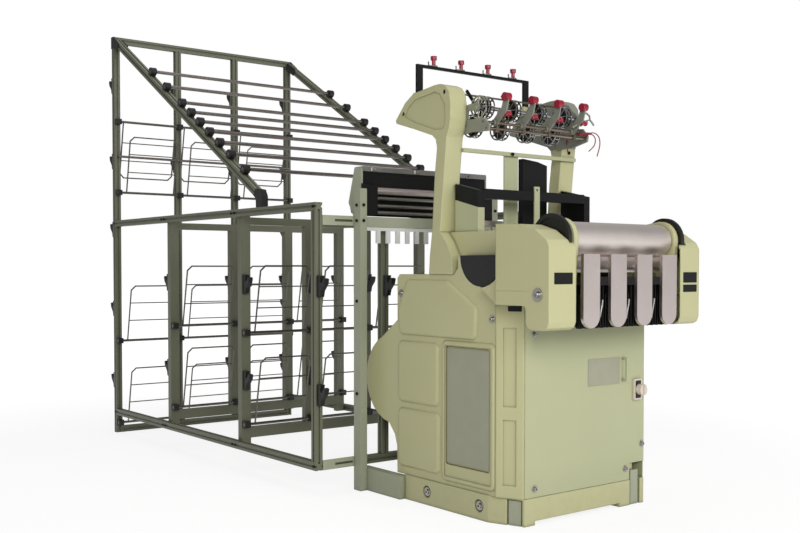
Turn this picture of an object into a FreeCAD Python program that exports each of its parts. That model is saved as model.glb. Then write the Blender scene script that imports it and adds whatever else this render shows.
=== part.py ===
import FreeCAD, Part
import math
import os

# A narrow-fabric power loom with four weaving heads and the warp creel that feeds it.
# Units are millimetres.  +X is the weaver's right, -Y the weaver's side, +Z up.
# The origin lies on the floor under the middle of the whole machine.

# ---------------------------------------------------------------- driving dimensions
# creel
CREEL_HEIGHT = 2304.0        # top of the rear frame
CREEL_HALF = 582.0           # centre of the outer uprights from the middle plane
REAR_Y = 1614.0              # centre of the rear frame
FRONT_Y = -503.0             # centre of the creel's front frame
BAY_FRAME_Y = (960.0, 192.0)  # centres of the two inner frames
REAR_INNER_X = 194.0         # inner uprights of the rear frame
BAY_INNER_X = 177.0          # inner uprights of the inner frames
FRONT_INNER_X = 230.0        # inner uprights of the front frame
PROFILE = 35.0               # side of the square slotted profile
GROOVE_WIDTH = 9.0
GROOVE_DEPTH = 5.0
RAIL_Z = 103.0               # underside of the bottom side rails
MID_RAIL_Z = 1205.0          # underside of the upper side rails
BAY_FOOT_Z = 147.0           # underside of the inner frames' bottom bars
BAY_PROFILE = 50.0           # the inner frames' wider plain profile
DIAGONAL_TOP_Z = CREEL_HEIGHT - 33.0   # centre line of the sloping rails at their top end
DIAGONAL_FOOT = (-12.0, 1312.0)   # y, z of their lower end
GUIDE_ROD_Y = (1110, 935, 756, 653, 555, 455, 350, 238, 100)
GUIDE_ROD_RADIUS = 9.0
CLAMP_RADIUS = 21.0
GUIDE_ROD_LIFT = PROFILE / 2 + CLAMP_RADIUS + 1.5   # guide rod above the sloping rail's centre line
CLAMP_WIDTH = 32.0
GUSSET = 66.0                # black corner plates at the top of the rear frame
REST_BAR_Z = 1613.0          # plain bar across the rear frame between its tension wires

# rocking tension wires of the creel
ROCKER_RADIUS = 7.0
ROCKER_LENGTH = 319.0        # rod to the wire's cross bar
ROCKER_LEAN = 62.0           # how far the cross bar stands off the rod's plane
WIRE_RADIUS = 4.0
WIRE_BEND = 24.0
RUNG_RADIUS = 3.2
RUNG_SHARES = (0.37, 0.69)   # heights of a loop's two rungs, as shares of its length
BLOCK_SIZE = 30.0            # square bearing block on an upright
REAR_ROCKER_Z = (1403.0, 539.0, 60.0)
REAR_HANGER_Z = 1814.0
BAY_ROCKER_Z = (654.0, 215.0)
HOOK_Z = (2027.0, 1587.0, 1189.0, 726.0, 304.0)
HOOK_REACH = 61.5
BAY_HOOK_Z = (886.0, 426.0)

# loom body
BODY_LEFT = -339.0
BODY_RIGHT = 399.0
BODY_REAR_Y = -799.0
BODY_FRONT_Y = -1445.0
PLINTH_HEIGHT = 103.0
CORNER = (55.0, 100.0)       # chamfer of the front left corner, x and y
COVER_DEPTH = 48.0
COVER_WALL = 4.0
PAD_HEIGHT = 4.0             # raised panels on the side covers
WALL_THICK = 28.0            # cast side walls
BODY_TOP_Z = 824.0           # top of the front panel
COVER_TOP_Z = 937.0          # top of the side covers
SHOULDER_Z = 1105.0          # top of the side walls, where the columns stand
WINDOW = (-1256.0, 1008.0, 113.0)   # y, z of the half-round window's centre, radius
WINDOW_RIM = 3.0             # its black cap laps the wall by this much
PANEL_THICK = 3.0
WALL_FRONT_Y = -1425.0       # front edges of the side walls
COVER_FRONT_Y = -1344.0      # front edges of the side covers
SLEY_AXIS = (-1100.0, 905.0)  # y, z the reed holder rocks about
SLEY_RADIUS = 12.0
HEALD_Y = -985.0             # front face of the first heald frame
HEALD_PITCH = 22.0
HEALD_THICK = 10.0
HEALD_LIFT = 20.0            # each frame stands this far above or below the middle
SHED_BEAM = (-1072.0, -1000.0, 960.0, 1020.0)   # y, y, z, z of the beam behind the reed
NEEDLE_BAR = (-1222.0, -1208.0, 1036.0, 1050.0)   # y, y, z, z of the bar that drives the needles
FOOT_GAP = 16.0              # the plinth's front stands this far off the floor between its feet
FOOT_LEFT_X = -229.0         # inner edges of the plinth's front feet
FOOT_RIGHT_X = 251.0
PANEL_LOW_Z = 105.0          # lower edge of the front panel
NOTCH = (310.0, 172.0)       # x, z of the notch in the panel's lower right corner

# main drive
MAIN_SHAFT = (-712.0, 495.0)
MAIN_SHAFT_RADIUS = 18.0
PULLEY_RADIUS = 165.0
PULLEY_WIDTH = 34.0
GUARD_RADIUS = PULLEY_RADIUS + 25.0
MOTOR = (-1000.0, 235.0)
MOTOR_PULLEY_RADIUS = 48.0

# columns and what they carry
COLUMN_WIDTH = 84.0
FEED_SHAFT = (-1078.0, 1527.0)
WHEEL_RADIUS = 46.0
WHEEL_WIDTH = 30.0           # a cage wheel over its two spoked rings
WHEEL_NIP = 0.5              # the two rows of wheels run this far apart
NIP_LEAN = 44.0              # the upper row leans this many degrees forward of the lower
SHAFT_RADIUS = 8.0
ARM_ROD = (-1180.0, 1532.0)
GUIDE_BAR = (-1200.0, 1505.0)
ARM_REACH = (-66.0, 94.0)    # from the arm's pivot to its knob, y and z
ARM_THICK = 6.0
KNOB_RADIUS = 16.0
KNOB_LENGTH = 28.0
TENSION_ROD = (-1050.0, 1655.0)   # y, z of the thin rod between the column heads
BEAM_FRONT_Y = -1186.0       # front of the black weft beam
BEAM_DEPTH = 36.0
BEAM_REAR_Y = -1052.0        # rear of its end blocks
BEAM_BLOCK = 34.0            # width of an end block
BEAM_TOP_Z = 1272.0
BEAM_HEIGHT = 38.0
BEAM_JOINT = (1198.0, 1233.0)   # front and rear height of the joint across an end block
HEAD_MIDDLE = 18.0
HEAD_PITCH = 146.0
HEADS = [HEAD_MIDDLE + HEAD_PITCH * (i - 1.5) for i in range(4)]
TOP_FRAME_Y = -850.0
TOP_FRAME_HALF = 320.0
TOP_FRAME_Z = 1798.0
FRAME_SEAT_Z = 1680.0        # top of the bosses that carry the frame

# take-up
ROLLER_AXIS = (-1590.0, 1067.0)
ROLLER_RADIUS = 63.0
DISC_RADIUS = 90.0
DISC_THICK = 16.0
PRESS_RADIUS = 30.0
TAKEUP_FRONT_Y = -1693.0
TAKEUP_REAR_Y = -1428.0
TAKEUP_HALF = 419.0
TAKEUP_COVER_WIDTH = 136.0
APRON_WIDTH = 86.0
APRON_TOP_Z = 1012.0
APRON_BOTTOM_Z = 748.0

# rear stand and warp let-off
POST_OUTER_X = 402.0
POST_WIDTH = 35.0
POST_DEPTH = 49.5
POST_HEIGHT = 1304.0
LETOFF_HALF = 358.0          # the let-off box reaches this far each way
LETOFF_FRONT_Y = -528.0
LETOFF_END = 60.0            # width of the black blocks that hold the guide bars
GUIDE_BARS = (((-548.0, 1266.0), 8.0), ((-548.0, 1233.0), 8.0), ((-548.0, 1204.0), 8.0))
LETOFF_AXIS = (-546.0, 1298.0)
GAP = 0.3                    # running clearance between different bodies
FIT = 0.05                   # radial clearance of a shaft in its bore

V = FreeCAD.Vector
X = V(1, 0, 0)
Y = V(0, 1, 0)
Z = V(0, 0, 1)
nodes = {}


# ---------------------------------------------------------------- helpers
def add(name, *solids):
    """Put solids into the node of that name."""
    nodes.setdefault(name, []).extend(solids)


def box(x0, x1, y0, y1, z0, z1):
    """A block between six planes."""
    corner = V(min(x0, x1), min(y0, y1), min(z0, z1))
    return Part.makeBox(abs(x1 - x0), abs(y1 - y0), abs(z1 - z0), corner)


def rod_x(x0, x1, centre, radius):
    """A round bar along X at (y, z)."""
    return Part.makeCylinder(radius, x1 - x0, V(x0, centre[0], centre[1]), X)


def rod_y(y0, y1, x, z, radius):
    """A round bar along Y."""
    return Part.makeCylinder(radius, y1 - y0, V(x, y0, z), Y)


def rod_z(z0, z1, x, y, radius):
    """A round bar along Z."""
    return Part.makeCylinder(radius, z1 - z0, V(x, y, z0), Z)


def plate_x(outline, x0, x1):
    """Extrude an outline of (y, z) points along X."""
    wire = Part.makePolygon([V(x0, y, z) for y, z in outline] + [V(x0, *outline[0])])
    return Part.Face(wire).extrude(V(x1 - x0, 0, 0))


def plate_y(outline, y0, y1):
    """Extrude an outline of (x, z) points along Y."""
    points = [V(x, y0, z) for x, z in outline]
    wire = Part.makePolygon(points + [points[0]])
    return Part.Face(wire).extrude(V(0, y1 - y0, 0))


def plate_z(outline, z0, z1):
    """Extrude an outline of (x, y) points along Z."""
    points = [V(x, y, z0) for x, y in outline]
    wire = Part.makePolygon(points + [points[0]])
    return Part.Face(wire).extrude(V(0, 0, z1 - z0))


def arc_points(centre, radius, start, end, count):
    """Points on an arc, angles in degrees from +Y towards +Z."""
    points = []
    for i in range(count + 1):
        angle = math.radians(start + (end - start) * i / count)
        points.append((centre[0] + radius * math.cos(angle), centre[1] + radius * math.sin(angle)))
    return points


def mirror_pair(solid, middle=0.0):
    """The solid and its mirror image across a plane of constant X."""
    return [solid, solid.mirror(V(middle, 0, 0), X)]


def round_edges(solid, radius, axis):
    """Fillet the straight edges that run along one axis."""
    edges = []
    for edge in solid.Edges:
        if isinstance(edge.Curve, Part.Line) and abs(edge.Curve.Direction.dot(axis)) > 0.999:
            edges.append(edge)
    return solid.makeFillet(radius, edges)


def profile_section():
    """Outline of the square profile with one groove in each side."""
    half = PROFILE / 2
    slot = GROOVE_WIDTH / 2
    deep = half - GROOVE_DEPTH
    side = [(half, -half), (half, -slot), (deep, -slot), (deep, slot), (half, slot)]
    points = []
    for turn in range(4):
        angle = math.radians(90 * turn)
        for a, b in side:
            points.append((a * math.cos(angle) - b * math.sin(angle),
                           a * math.sin(angle) + b * math.cos(angle)))
    return points


SECTION = profile_section()


def bar_x(x0, x1, y, z):
    """Slotted profile along X around a centre line."""
    return plate_x([(y + a, z + b) for a, b in SECTION], x0, x1)


def bar_y(y0, y1, x, z):
    """Slotted profile along Y around a centre line."""
    return plate_y([(x + a, z + b) for a, b in SECTION], y0, y1)


def bar_z(z0, z1, x, y):
    """Slotted profile along Z around a centre line."""
    return plate_z([(x + a, y + b) for a, b in SECTION], z0, z1)


# ---------------------------------------------------------------- creel frames
HALF = PROFILE / 2
INSIDE = CREEL_HALF - HALF               # inner faces of the outer uprights
REAR_FACE = REAR_Y - HALF                # front face of the rear frame
RAIL_MID_Z = RAIL_Z + HALF
MID_RAIL_MID_Z = MID_RAIL_Z + HALF


def creel_rear_frame():
    """Four uprights between a bottom and a top bar."""
    for x in (-CREEL_HALF, CREEL_HALF):
        add("creel_rear_frame", bar_z(0, CREEL_HEIGHT, x, REAR_Y))
    for x in (-REAR_INNER_X, REAR_INNER_X):
        add("creel_rear_frame", bar_z(PROFILE, CREEL_HEIGHT - PROFILE, x, REAR_Y))
    for z in (HALF, CREEL_HEIGHT - HALF):
        add("creel_rear_frame", bar_x(-INSIDE, INSIDE, REAR_Y, z))


def creel_bay_frames():
    """Two inner frames that stand between the side rails."""
    inner = INSIDE - BAY_PROFILE
    low = BAY_FOOT_Z + BAY_PROFILE
    for y in BAY_FRAME_Y:
        face = (y - HALF, y + HALF)
        for side in (-1, 1):
            add("creel_inner_frames", box(side * INSIDE, side * inner, *face, RAIL_Z, MID_RAIL_Z + PROFILE))
            x = side * BAY_INNER_X
            post = box(x - BAY_PROFILE / 2, x + BAY_PROFILE / 2, *face, low, MID_RAIL_Z - PROFILE)
            add("creel_inner_frames", post)
        add("creel_inner_frames", box(-inner, inner, *face, BAY_FOOT_Z, low))
        add("creel_inner_frames", box(-inner, inner, *face, MID_RAIL_Z - PROFILE, MID_RAIL_Z))


def creel_front_frame():
    """Front uprights with the two cross bars that bolt to the loom's posts."""
    low = RAIL_MID_Z
    high = MID_RAIL_Z - 20 - HALF
    for x in (-CREEL_HALF, CREEL_HALF):
        add("creel_inner_frames", bar_z(RAIL_Z + PROFILE, MID_RAIL_Z, x, FRONT_Y))
    for z in (low, high):
        add("creel_inner_frames", bar_x(-INSIDE, INSIDE, FRONT_Y, z))
    for x in (-FRONT_INNER_X, FRONT_INNER_X):
        add("creel_inner_frames", bar_z(low + HALF, high - HALF, x, FRONT_Y))


def creel_side_rails():
    """Bottom and upper rails from the rear frame to the front frame."""
    for x in (-CREEL_HALF, CREEL_HALF):
        for z in (RAIL_MID_Z, MID_RAIL_MID_Z):
            add("creel_rails", bar_y(FRONT_Y - HALF, REAR_FACE, x, z))


DIAGONAL_RISE = DIAGONAL_TOP_Z - DIAGONAL_FOOT[1]
FULL_RUN = REAR_FACE - DIAGONAL_FOOT[0]
END_CORNER = HALF * DIAGONAL_RISE / math.hypot(FULL_RUN, DIAGONAL_RISE)   # its corner leads by this much
DIAGONAL_RUN = FULL_RUN - max(10.0, END_CORNER + 1)
DIAGONAL_LENGTH = math.hypot(DIAGONAL_RUN, DIAGONAL_RISE)
ALONG = (DIAGONAL_RUN / DIAGONAL_LENGTH, DIAGONAL_RISE / DIAGONAL_LENGTH)
ACROSS = (-ALONG[1], ALONG[0])


def on_diagonal(distance, offset):
    """(y, z) of a point up the sloping rail, offset square to it."""
    return (DIAGONAL_FOOT[0] + distance * ALONG[0] + offset * ACROSS[0],
            DIAGONAL_FOOT[1] + distance * ALONG[1] + offset * ACROSS[1])


def creel_diagonals():
    """Two sloping rails from the upper side rails to the top of the rear frame."""
    for x in (-CREEL_HALF, CREEL_HALF):
        rail = bar_y(0, DIAGONAL_LENGTH, 0, 0)
        rail.rotate(V(0, 0, 0), X, math.degrees(math.atan2(ALONG[1], ALONG[0])))
        rail.translate(V(x, *DIAGONAL_FOOT))
        add("creel_rails", rail)


def creel_brackets():
    """Black gussets at the top and knee brackets at the foot of the sloping rails."""
    outer = CREEL_HALF + HALF
    rear = REAR_Y + HALF
    gusset = [(rear, CREEL_HEIGHT), (rear, CREEL_HEIGHT - GUSSET), (REAR_FACE, CREEL_HEIGHT - GUSSET),
              on_diagonal(DIAGONAL_LENGTH - GUSSET, -HALF), on_diagonal(DIAGONAL_LENGTH - GUSSET, HALF),
              (REAR_FACE, CREEL_HEIGHT)]
    rail_top = MID_RAIL_Z + PROFILE
    low = on_diagonal(0, -HALF)
    top = on_diagonal(0, HALF)
    knee = [low, top, (-58, top[1] - 6), (-76, 1290), (-76, rail_top), (-26, rail_top), (-24, 1280)]
    for x in (-1, 1):
        add("creel_fittings", plate_x(gusset, x * outer, x * (outer + 4)))
        add("creel_fittings", plate_x(knee, x * (CREEL_HALF - HALF), x * (CREEL_HALF + HALF)))


def guide_rod_centres():
    """(y, z) of the guide rods, all lifted by one amount off the sloping rails."""
    centres = []
    for y in GUIDE_ROD_Y:
        foot_y = y - GUIDE_ROD_LIFT * ACROSS[0]
        distance = (foot_y - DIAGONAL_FOOT[0]) / ALONG[0]
        centres.append(on_diagonal(distance, GUIDE_ROD_LIFT))
    return centres


def guide_rods():
    """Nine yarn guide rods in round clamps on the sloping rails, and the rear frame's plain bar."""
    rest = (REAR_FACE - ROCKER_RADIUS, REST_BAR_Z)
    add("guide_rods", rod_x(-CREEL_HALF, CREEL_HALF, rest, ROCKER_RADIUS))
    end = CREEL_HALF + CLAMP_WIDTH / 2
    for centre in guide_rod_centres():
        add("guide_rods", rod_x(-end, end, centre, GUIDE_ROD_RADIUS))
        for x in (-CREEL_HALF, CREEL_HALF):
            left = x - CLAMP_WIDTH / 2
            clamp = rod_x(left, left + CLAMP_WIDTH, centre, CLAMP_RADIUS)
            foot = box(left, left + CLAMP_WIDTH, -14, 14, HALF, GUIDE_ROD_LIFT)
            foot.rotate(V(0, 0, 0), X, math.degrees(math.atan2(ALONG[1], ALONG[0])))
            base = (centre[0] - GUIDE_ROD_LIFT * ACROSS[0], centre[1] - GUIDE_ROD_LIFT * ACROSS[1])
            foot.translate(V(0, *base))
            hole = rod_x(left - 1, left + CLAMP_WIDTH + 1, centre, GUIDE_ROD_RADIUS + 0.05)
            add("rod_clamps", clamp.fuse(foot).cut(hole).removeSplitter())


# ---------------------------------------------------------------- creel tension wires
def wire_loop(x0, x1, start, end):
    """A U of eight-sided wire: two legs from the rod at start=(y, z) and a cross bar at end."""
    foot_left = V(x0, *start)
    foot_right = V(x1, *start)
    rise = V(0, end[0] - start[0], end[1] - start[1])
    up = rise * (1 / rise.Length)
    straight = rise - up * WIRE_BEND
    inset = X * WIRE_BEND
    path = Part.makePolygon([foot_left, foot_left + straight, foot_left + rise + inset,
                             foot_right + rise - inset, foot_right + straight, foot_right])
    around = [math.radians(45 * i + 22.5) for i in range(8)]
    side = up.cross(X)
    ring = [foot_left + X * (WIRE_RADIUS * math.cos(a)) + side * (WIRE_RADIUS * math.sin(a)) for a in around]
    return Part.Wire(path).makePipeShell([Part.makePolygon(ring + [ring[0]])], True, False, 1)


def rocker(name, uprights, rod_y_at, rod_z_at, lean, reach):
    """A rod in blocks on the uprights, with a wire loop in each bay between them."""
    axis = (rod_y_at, rod_z_at)
    half_block = BLOCK_SIZE / 2
    ends = (uprights[0] - half_block, uprights[-1] + half_block)
    bar = rod_x(ends[0], ends[1], axis, ROCKER_RADIUS)
    add(name, bar)
    tip = (rod_y_at + lean, rod_z_at + reach)
    inset = 46.0 if reach > 0 else 30.0
    for left, right in zip(uprights[:-1], uprights[1:]):
        loop = wire_loop(left + inset, right - inset, axis, tip)
        add(name, loop.cut(bar))
        flat = WIRE_RADIUS * math.cos(math.radians(22.5))
        for share in RUNG_SHARES:
            spot = (rod_y_at + lean * share, rod_z_at + reach * share)
            ring = arc_points(spot, RUNG_RADIUS, 22.5, 337.5, 7)
            add(name, plate_x(ring, left + inset + flat, right - inset - flat))


def bearing_blocks(uprights, face_y, rod_y_at, rod_z_at):
    """Square black blocks that hold a rocker rod on the front of the uprights."""
    half = BLOCK_SIZE / 2
    for x in uprights:
        block = box(x - half, x + half, face_y, rod_y_at - half, rod_z_at - half, rod_z_at + half)
        hole = rod_x(x - half - 1, x + half + 1, (rod_y_at, rod_z_at), ROCKER_RADIUS + GAP)
        add("rod_clamps", block.cut(hole))


def rockers():
    """Rocking wires on the rear frame and on the two inner frames."""
    rear = [-CREEL_HALF, -REAR_INNER_X, REAR_INNER_X, CREEL_HALF]
    rear_rod_y = REAR_FACE - BLOCK_SIZE / 2
    for number, z in enumerate(REAR_ROCKER_Z, 1):
        rocker("rear_rocker_%d" % number, rear, rear_rod_y, z, -ROCKER_LEAN, ROCKER_LENGTH)
        bearing_blocks(rear, REAR_FACE, rear_rod_y, z)
    rocker("rear_hanger", rear, rear_rod_y, REAR_HANGER_Z, ROCKER_LEAN, -ROCKER_LENGTH)
    bearing_blocks(rear, REAR_FACE, rear_rod_y, REAR_HANGER_Z)
    outer_x = INSIDE - HALF
    bay = [-outer_x, -BAY_INNER_X, BAY_INNER_X, outer_x]
    for name, y in zip(("middle_rocker", "front_rocker"), BAY_FRAME_Y):
        face = y - HALF
        rod_at = face - BLOCK_SIZE / 2
        for number, z in enumerate(BAY_ROCKER_Z, 1):
            rocker("%s_%d" % (name, number), bay, rod_at, z, -ROCKER_LEAN, ROCKER_LENGTH)
            bearing_blocks(bay, face, rod_at, z)


def hook(x, face_y, z, facing):
    """A moulded hook that holds a warp beam's axle; facing is +1 rearward, -1 forward."""
    outline = [(0, -45), (24, -45), (30, -20), (56, 8), (HOOK_REACH, 30), (50, 34),
               (38, 14), (28, 12), (24, 22), (28, 45), (0, 45)]
    points = [(face_y + facing * a, z + b) for a, b in outline]
    return plate_x(points, x - 11, x + 11)


def beam_hooks():
    """Hooks behind the rear frame and in front of the inner and front frames."""
    for x in (-CREEL_HALF, -REAR_INNER_X, REAR_INNER_X, CREEL_HALF):
        for z in HOOK_Z:
            add("creel_fittings", hook(x, REAR_Y + HALF, z, 1))
    outer_x = INSIDE - HALF
    for y, facing in zip(BAY_FRAME_Y, (1, -1)):
        for x in (-outer_x, -BAY_INNER_X, BAY_INNER_X, outer_x):
            for z in BAY_HOOK_Z:
                add("creel_fittings", hook(x, y + facing * HALF, z, facing))
    for x in (-CREEL_HALF, -FRONT_INNER_X, FRONT_INNER_X, CREEL_HALF):
        for z in BAY_HOOK_Z:
            add("creel_fittings", hook(x, FRONT_Y - HALF, z, -1))


# ---------------------------------------------------------------- loom base and walls
WALL_LEFT = BODY_LEFT + COVER_DEPTH      # outer face of the left wall
WALL_RIGHT = BODY_RIGHT - COVER_DEPTH    # outer face of the right wall
CORNER_Y = BODY_FRONT_Y + CORNER[1]


def plinth():
    """Cast base tray with a chamfered front corner, foot recesses and bolt pockets."""
    outline = [(BODY_LEFT, BODY_REAR_Y), (BODY_LEFT, CORNER_Y + 40),
               (BODY_LEFT + CORNER[0], BODY_FRONT_Y), (BODY_RIGHT, BODY_FRONT_Y),
               (BODY_RIGHT, BODY_REAR_Y)]
    block = plate_z(outline, 0, PLINTH_HEIGHT)
    inner = box(WALL_LEFT + WALL_THICK + 20, WALL_RIGHT - WALL_THICK - 20,
                BODY_REAR_Y - 25, BODY_FRONT_Y + 60, 18, PLINTH_HEIGHT + 1)
    block = block.cut(inner)
    for y in (-941.0, -1254.0):
        block = block.cut(rod_x(BODY_LEFT - 1, BODY_LEFT + 16, (y, 54.0), 25))
        block = block.fuse(rod_x(BODY_LEFT + 6, BODY_LEFT + 18, (y, 54.0), 11))
    arch = box(FOOT_LEFT_X, FOOT_RIGHT_X, BODY_FRONT_Y - 1, BODY_FRONT_Y + 55, -1, FOOT_GAP)
    block = block.cut(arch)
    recess = box(NOTCH[0] + 4, BODY_RIGHT - 23, BODY_FRONT_Y - 1, WALL_FRONT_Y, -1, PLINTH_HEIGHT + 1)
    block = block.cut(recess)
    foot = box(NOTCH[0] + 12, BODY_RIGHT - 31, BODY_FRONT_Y + 4, WALL_FRONT_Y, 0, NOTCH[1] - 32)
    add("bare_plates", foot)
    start = (BODY_LEFT, CORNER_Y + 40)
    run = (CORNER[0], BODY_FRONT_Y - start[1])
    length = math.hypot(*run)
    inward = (-run[1] / length, run[0] / length)

    def on_corner(share, depth):
        """(x, y) of a point along the corner's face, sunk by depth."""
        return (start[0] + share * run[0] + depth * inward[0], start[1] + share * run[1] + depth * inward[1])

    well = [on_corner(0.52, -1), on_corner(0.94, -1), on_corner(0.94, 14), on_corner(0.52, 14)]
    block = block.cut(plate_z(well, -1, PLINTH_HEIGHT - 5))
    shoe = [on_corner(0.56, 4), on_corner(0.90, 4), on_corner(0.90, 14), on_corner(0.56, 14)]
    add("plinth", block)
    add("bare_plates", plate_z(shoe, 0, PLINTH_HEIGHT - 9))


def wall_outline(points_per_arc=10):
    """Outline (y, z) of a cast side wall with its take-up shoulder and bearing lug."""
    lug = []
    for i in range(points_per_arc + 1):
        angle = math.radians(-90 + 180 * i / points_per_arc)
        lug.append((MAIN_SHAFT[0] + 62 * math.cos(angle), MAIN_SHAFT[1] + 62 * math.sin(angle)))
    rear = [(-755, PLINTH_HEIGHT), (-755, lug[0][1] - 40)]
    top = [(-755, lug[-1][1] + 40), (-755, 930), (-955, 930), (-968, SHOULDER_Z),
           (WALL_FRONT_Y + 35, SHOULDER_Z), (WALL_FRONT_Y, 1060), (WALL_FRONT_Y, PLINTH_HEIGHT)]
    return rear + lug + top


def window_cut(x0, x1, grow=0.0):
    """The half-round window under the shoulder, as a cutting solid."""
    y, z, radius = WINDOW
    disc = rod_x(x0, x1, (y, z), radius + grow)
    return disc.common(box(x0, x1, y - 200, y + 200, z - 200, z + grow))


def side_walls():
    """Left and right cast walls with bearing holes and the window."""
    for outer, inner in ((WALL_LEFT, WALL_LEFT + WALL_THICK),
                         (WALL_RIGHT - WALL_THICK, WALL_RIGHT)):
        wall = plate_x(wall_outline(), outer, inner)
        wall = wall.cut(window_cut(outer - 1, inner + 1))
        for centre, radius in ((MAIN_SHAFT, MAIN_SHAFT_RADIUS), (SLEY_AXIS, SLEY_RADIUS)):
            wall = wall.cut(rod_x(outer - 1, inner + 1, centre, radius + FIT))
        if outer == WALL_LEFT:
            wall = wall.cut(rod_x(outer - 1, inner + 1, MOTOR, 70))
        add("side_walls", wall)


def cover_outline(with_guard, inset):
    """Outline of a side cover, drawn in by inset; the left one bulges over the pulley."""
    y, z, radius = WINDOW
    rear = -743.0 - inset
    low = PLINTH_HEIGHT + inset
    outline = [(rear, low)]
    if with_guard:
        outline += [(rear + 2, 215), (rear + 18, 262)]
        outline += arc_points(MAIN_SHAFT, GUARD_RADIUS - inset, -82, 66, 12)
    outline += [(rear, 745), (rear, COVER_TOP_Z - 16 - inset), (rear - 16, COVER_TOP_Z - inset),
                (-1104 + inset, COVER_TOP_Z - inset), (-1126 + inset, 962)]
    outline += [(-1126 + inset, z - inset), (y + radius + inset + 4, z - inset)]
    outline += arc_points((y, z - inset), radius + 4 + inset, 0, -90, 8)[1:]
    outline += [(COVER_FRONT_Y + inset, 836 - inset), (COVER_FRONT_Y + inset, low)]
    return outline


def raised_pad(outline, x0, x1, radius):
    """A flat raised panel with rounded corners."""
    return round_edges(plate_x(outline, x0, x1), radius, X)


def cover_shell(outer, direction, with_guard):
    """A hollow side cover open on its inner side, with raised panels."""
    face = outer + direction * PAD_HEIGHT
    back = outer + direction * (COVER_DEPTH - GAP)
    body = plate_x(cover_outline(with_guard, 0.0), face, back)
    hollow = plate_x(cover_outline(with_guard, COVER_WALL), face + direction * COVER_WALL, back + direction)
    body = body.cut(hollow)
    upper = [(-813, 909), (-1068, 907), (-1236, 806), (-1230, 692), (-766, 692), (-756, 793)]
    middle = [(-758, 412), (-1009, 412), (-1009, 655), (-758, 655)]
    lower = [(-758, 142), (-1016, 142), (-1016, 375), (-758, 375)]
    front = [(-1040, 125), (-1338, 125), (-1338, 672), (-1040, 672)]
    for outline in (upper, middle, lower, front):
        body = body.fuse(raised_pad(outline, outer, face, 22))
    recess = round_edges(box(outer - direction, outer + direction * 7, -1056, -1313, 186, 655), 12, X)
    return body.removeSplitter().cut(recess)


def side_covers():
    """Left cover with the pulley guard, right cover plain, and their bare plates."""
    add("side_cover_left", cover_shell(BODY_LEFT, 1, True))
    add("side_cover_right", cover_shell(BODY_RIGHT, -1, False))
    add("bare_plates", box(BODY_LEFT + 5, BODY_LEFT + 7, -1064, -1305, 194, 647))


def front_panels():
    """Corner casting, folded sheet front, its deck, handle and switch box."""
    y0 = BODY_FRONT_Y
    seam = COVER_FRONT_Y - GAP
    strip = [(BODY_LEFT, seam), (BODY_LEFT + CORNER[0], y0), (BODY_LEFT + CORNER[0], WALL_FRONT_Y - GAP),
             (WALL_LEFT, WALL_FRONT_Y - GAP), (WALL_LEFT, seam)]
    corner = plate_z(strip, PLINTH_HEIGHT, BODY_TOP_Z)
    slope = (CORNER[0], y0 - seam)
    long = math.hypot(*slope)
    inward = (-slope[1] / long, slope[0] / long)
    dent = []
    for share, depth in ((0.26, -1), (0.70, -1), (0.70, 4), (0.26, 4)):
        dent.append((BODY_LEFT + share * slope[0] + depth * inward[0],
                     seam + share * slope[1] + depth * inward[1]))
    for low, high in ((150, 395), (445, 740)):
        corner = corner.cut(plate_z(dent, low, high))
    add("side_walls", corner)
    panel = box(BODY_LEFT + CORNER[0] + GAP, BODY_RIGHT, y0, y0 + PANEL_THICK, PANEL_LOW_Z, BODY_TOP_Z)
    panel = panel.cut(box(NOTCH[0], BODY_RIGHT + 1, y0 - 1, y0 + PANEL_THICK + 1, PANEL_LOW_Z - 1, NOTCH[1]))
    top = box(BODY_LEFT + CORNER[0] + GAP, BODY_RIGHT, y0 + PANEL_THICK, WALL_FRONT_Y - GAP,
              BODY_TOP_Z - 3, BODY_TOP_Z)
    add("front_panel", panel.fuse(top).removeSplitter())
    side = box(BODY_RIGHT - 3, BODY_RIGHT, y0 + PANEL_THICK, seam, PLINTH_HEIGHT, BODY_TOP_Z - 3)
    add("front_panel", side)


def panel_fittings():
    """Bow handle, switch box and the bare data plate on the front panel."""
    y0 = BODY_FRONT_Y
    handle = box(262, 270, y0 - 24, y0, 596, 604).fuse(box(262, 270, y0 - 24, y0, 510, 518))
    handle = handle.fuse(box(262, 270, y0 - 24, y0 - 17, 510, 604)).removeSplitter()
    add("panel_fittings", handle)
    base = box(328, 374, y0 - 10, y0, 428, 512)
    add("panel_fittings", base.cut(rod_y(y0 - 11, y0 - 3, 357, 470, 9.3)))
    knob = rod_y(y0 - 34, y0 - 10 - GAP, 357, 470, 22).fuse(rod_y(y0 - 16, y0 - 3.5, 357, 470, 9))
    add("switch_knob", knob.fuse(box(352, 362, y0 - 42, y0 - 33, 450, 490)).removeSplitter())
    add("bare_plates", box(60, 246, y0 - 1.5, y0, 500, 605))
    disc = window_cut(BODY_LEFT + PAD_HEIGHT, WALL_LEFT, WINDOW_RIM)
    hollow = window_cut(BODY_LEFT + PAD_HEIGHT + 4, WALL_LEFT + 1, -1)
    add("panel_fittings", disc.cut(hollow))


# ---------------------------------------------------------------- main drive
def vee_pulley(x0, x1, centre, radius, groove):
    """A pulley turned with two vee grooves."""
    width = x1 - x0
    rim = radius
    root = radius - groove
    profile = [(x0, 0), (x0, rim), (x0 + width * 0.12, rim), (x0 + width * 0.27, root),
               (x0 + width * 0.42, rim), (x0 + width * 0.58, rim), (x0 + width * 0.73, root),
               (x0 + width * 0.88, rim), (x1, rim), (x1, 0)]
    points = [V(a, centre[0], centre[1] + r) for a, r in profile]
    face = Part.Face(Part.makePolygon(points + [points[0]]))
    return face.revolve(V(0, *centre), X, 360)


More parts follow.
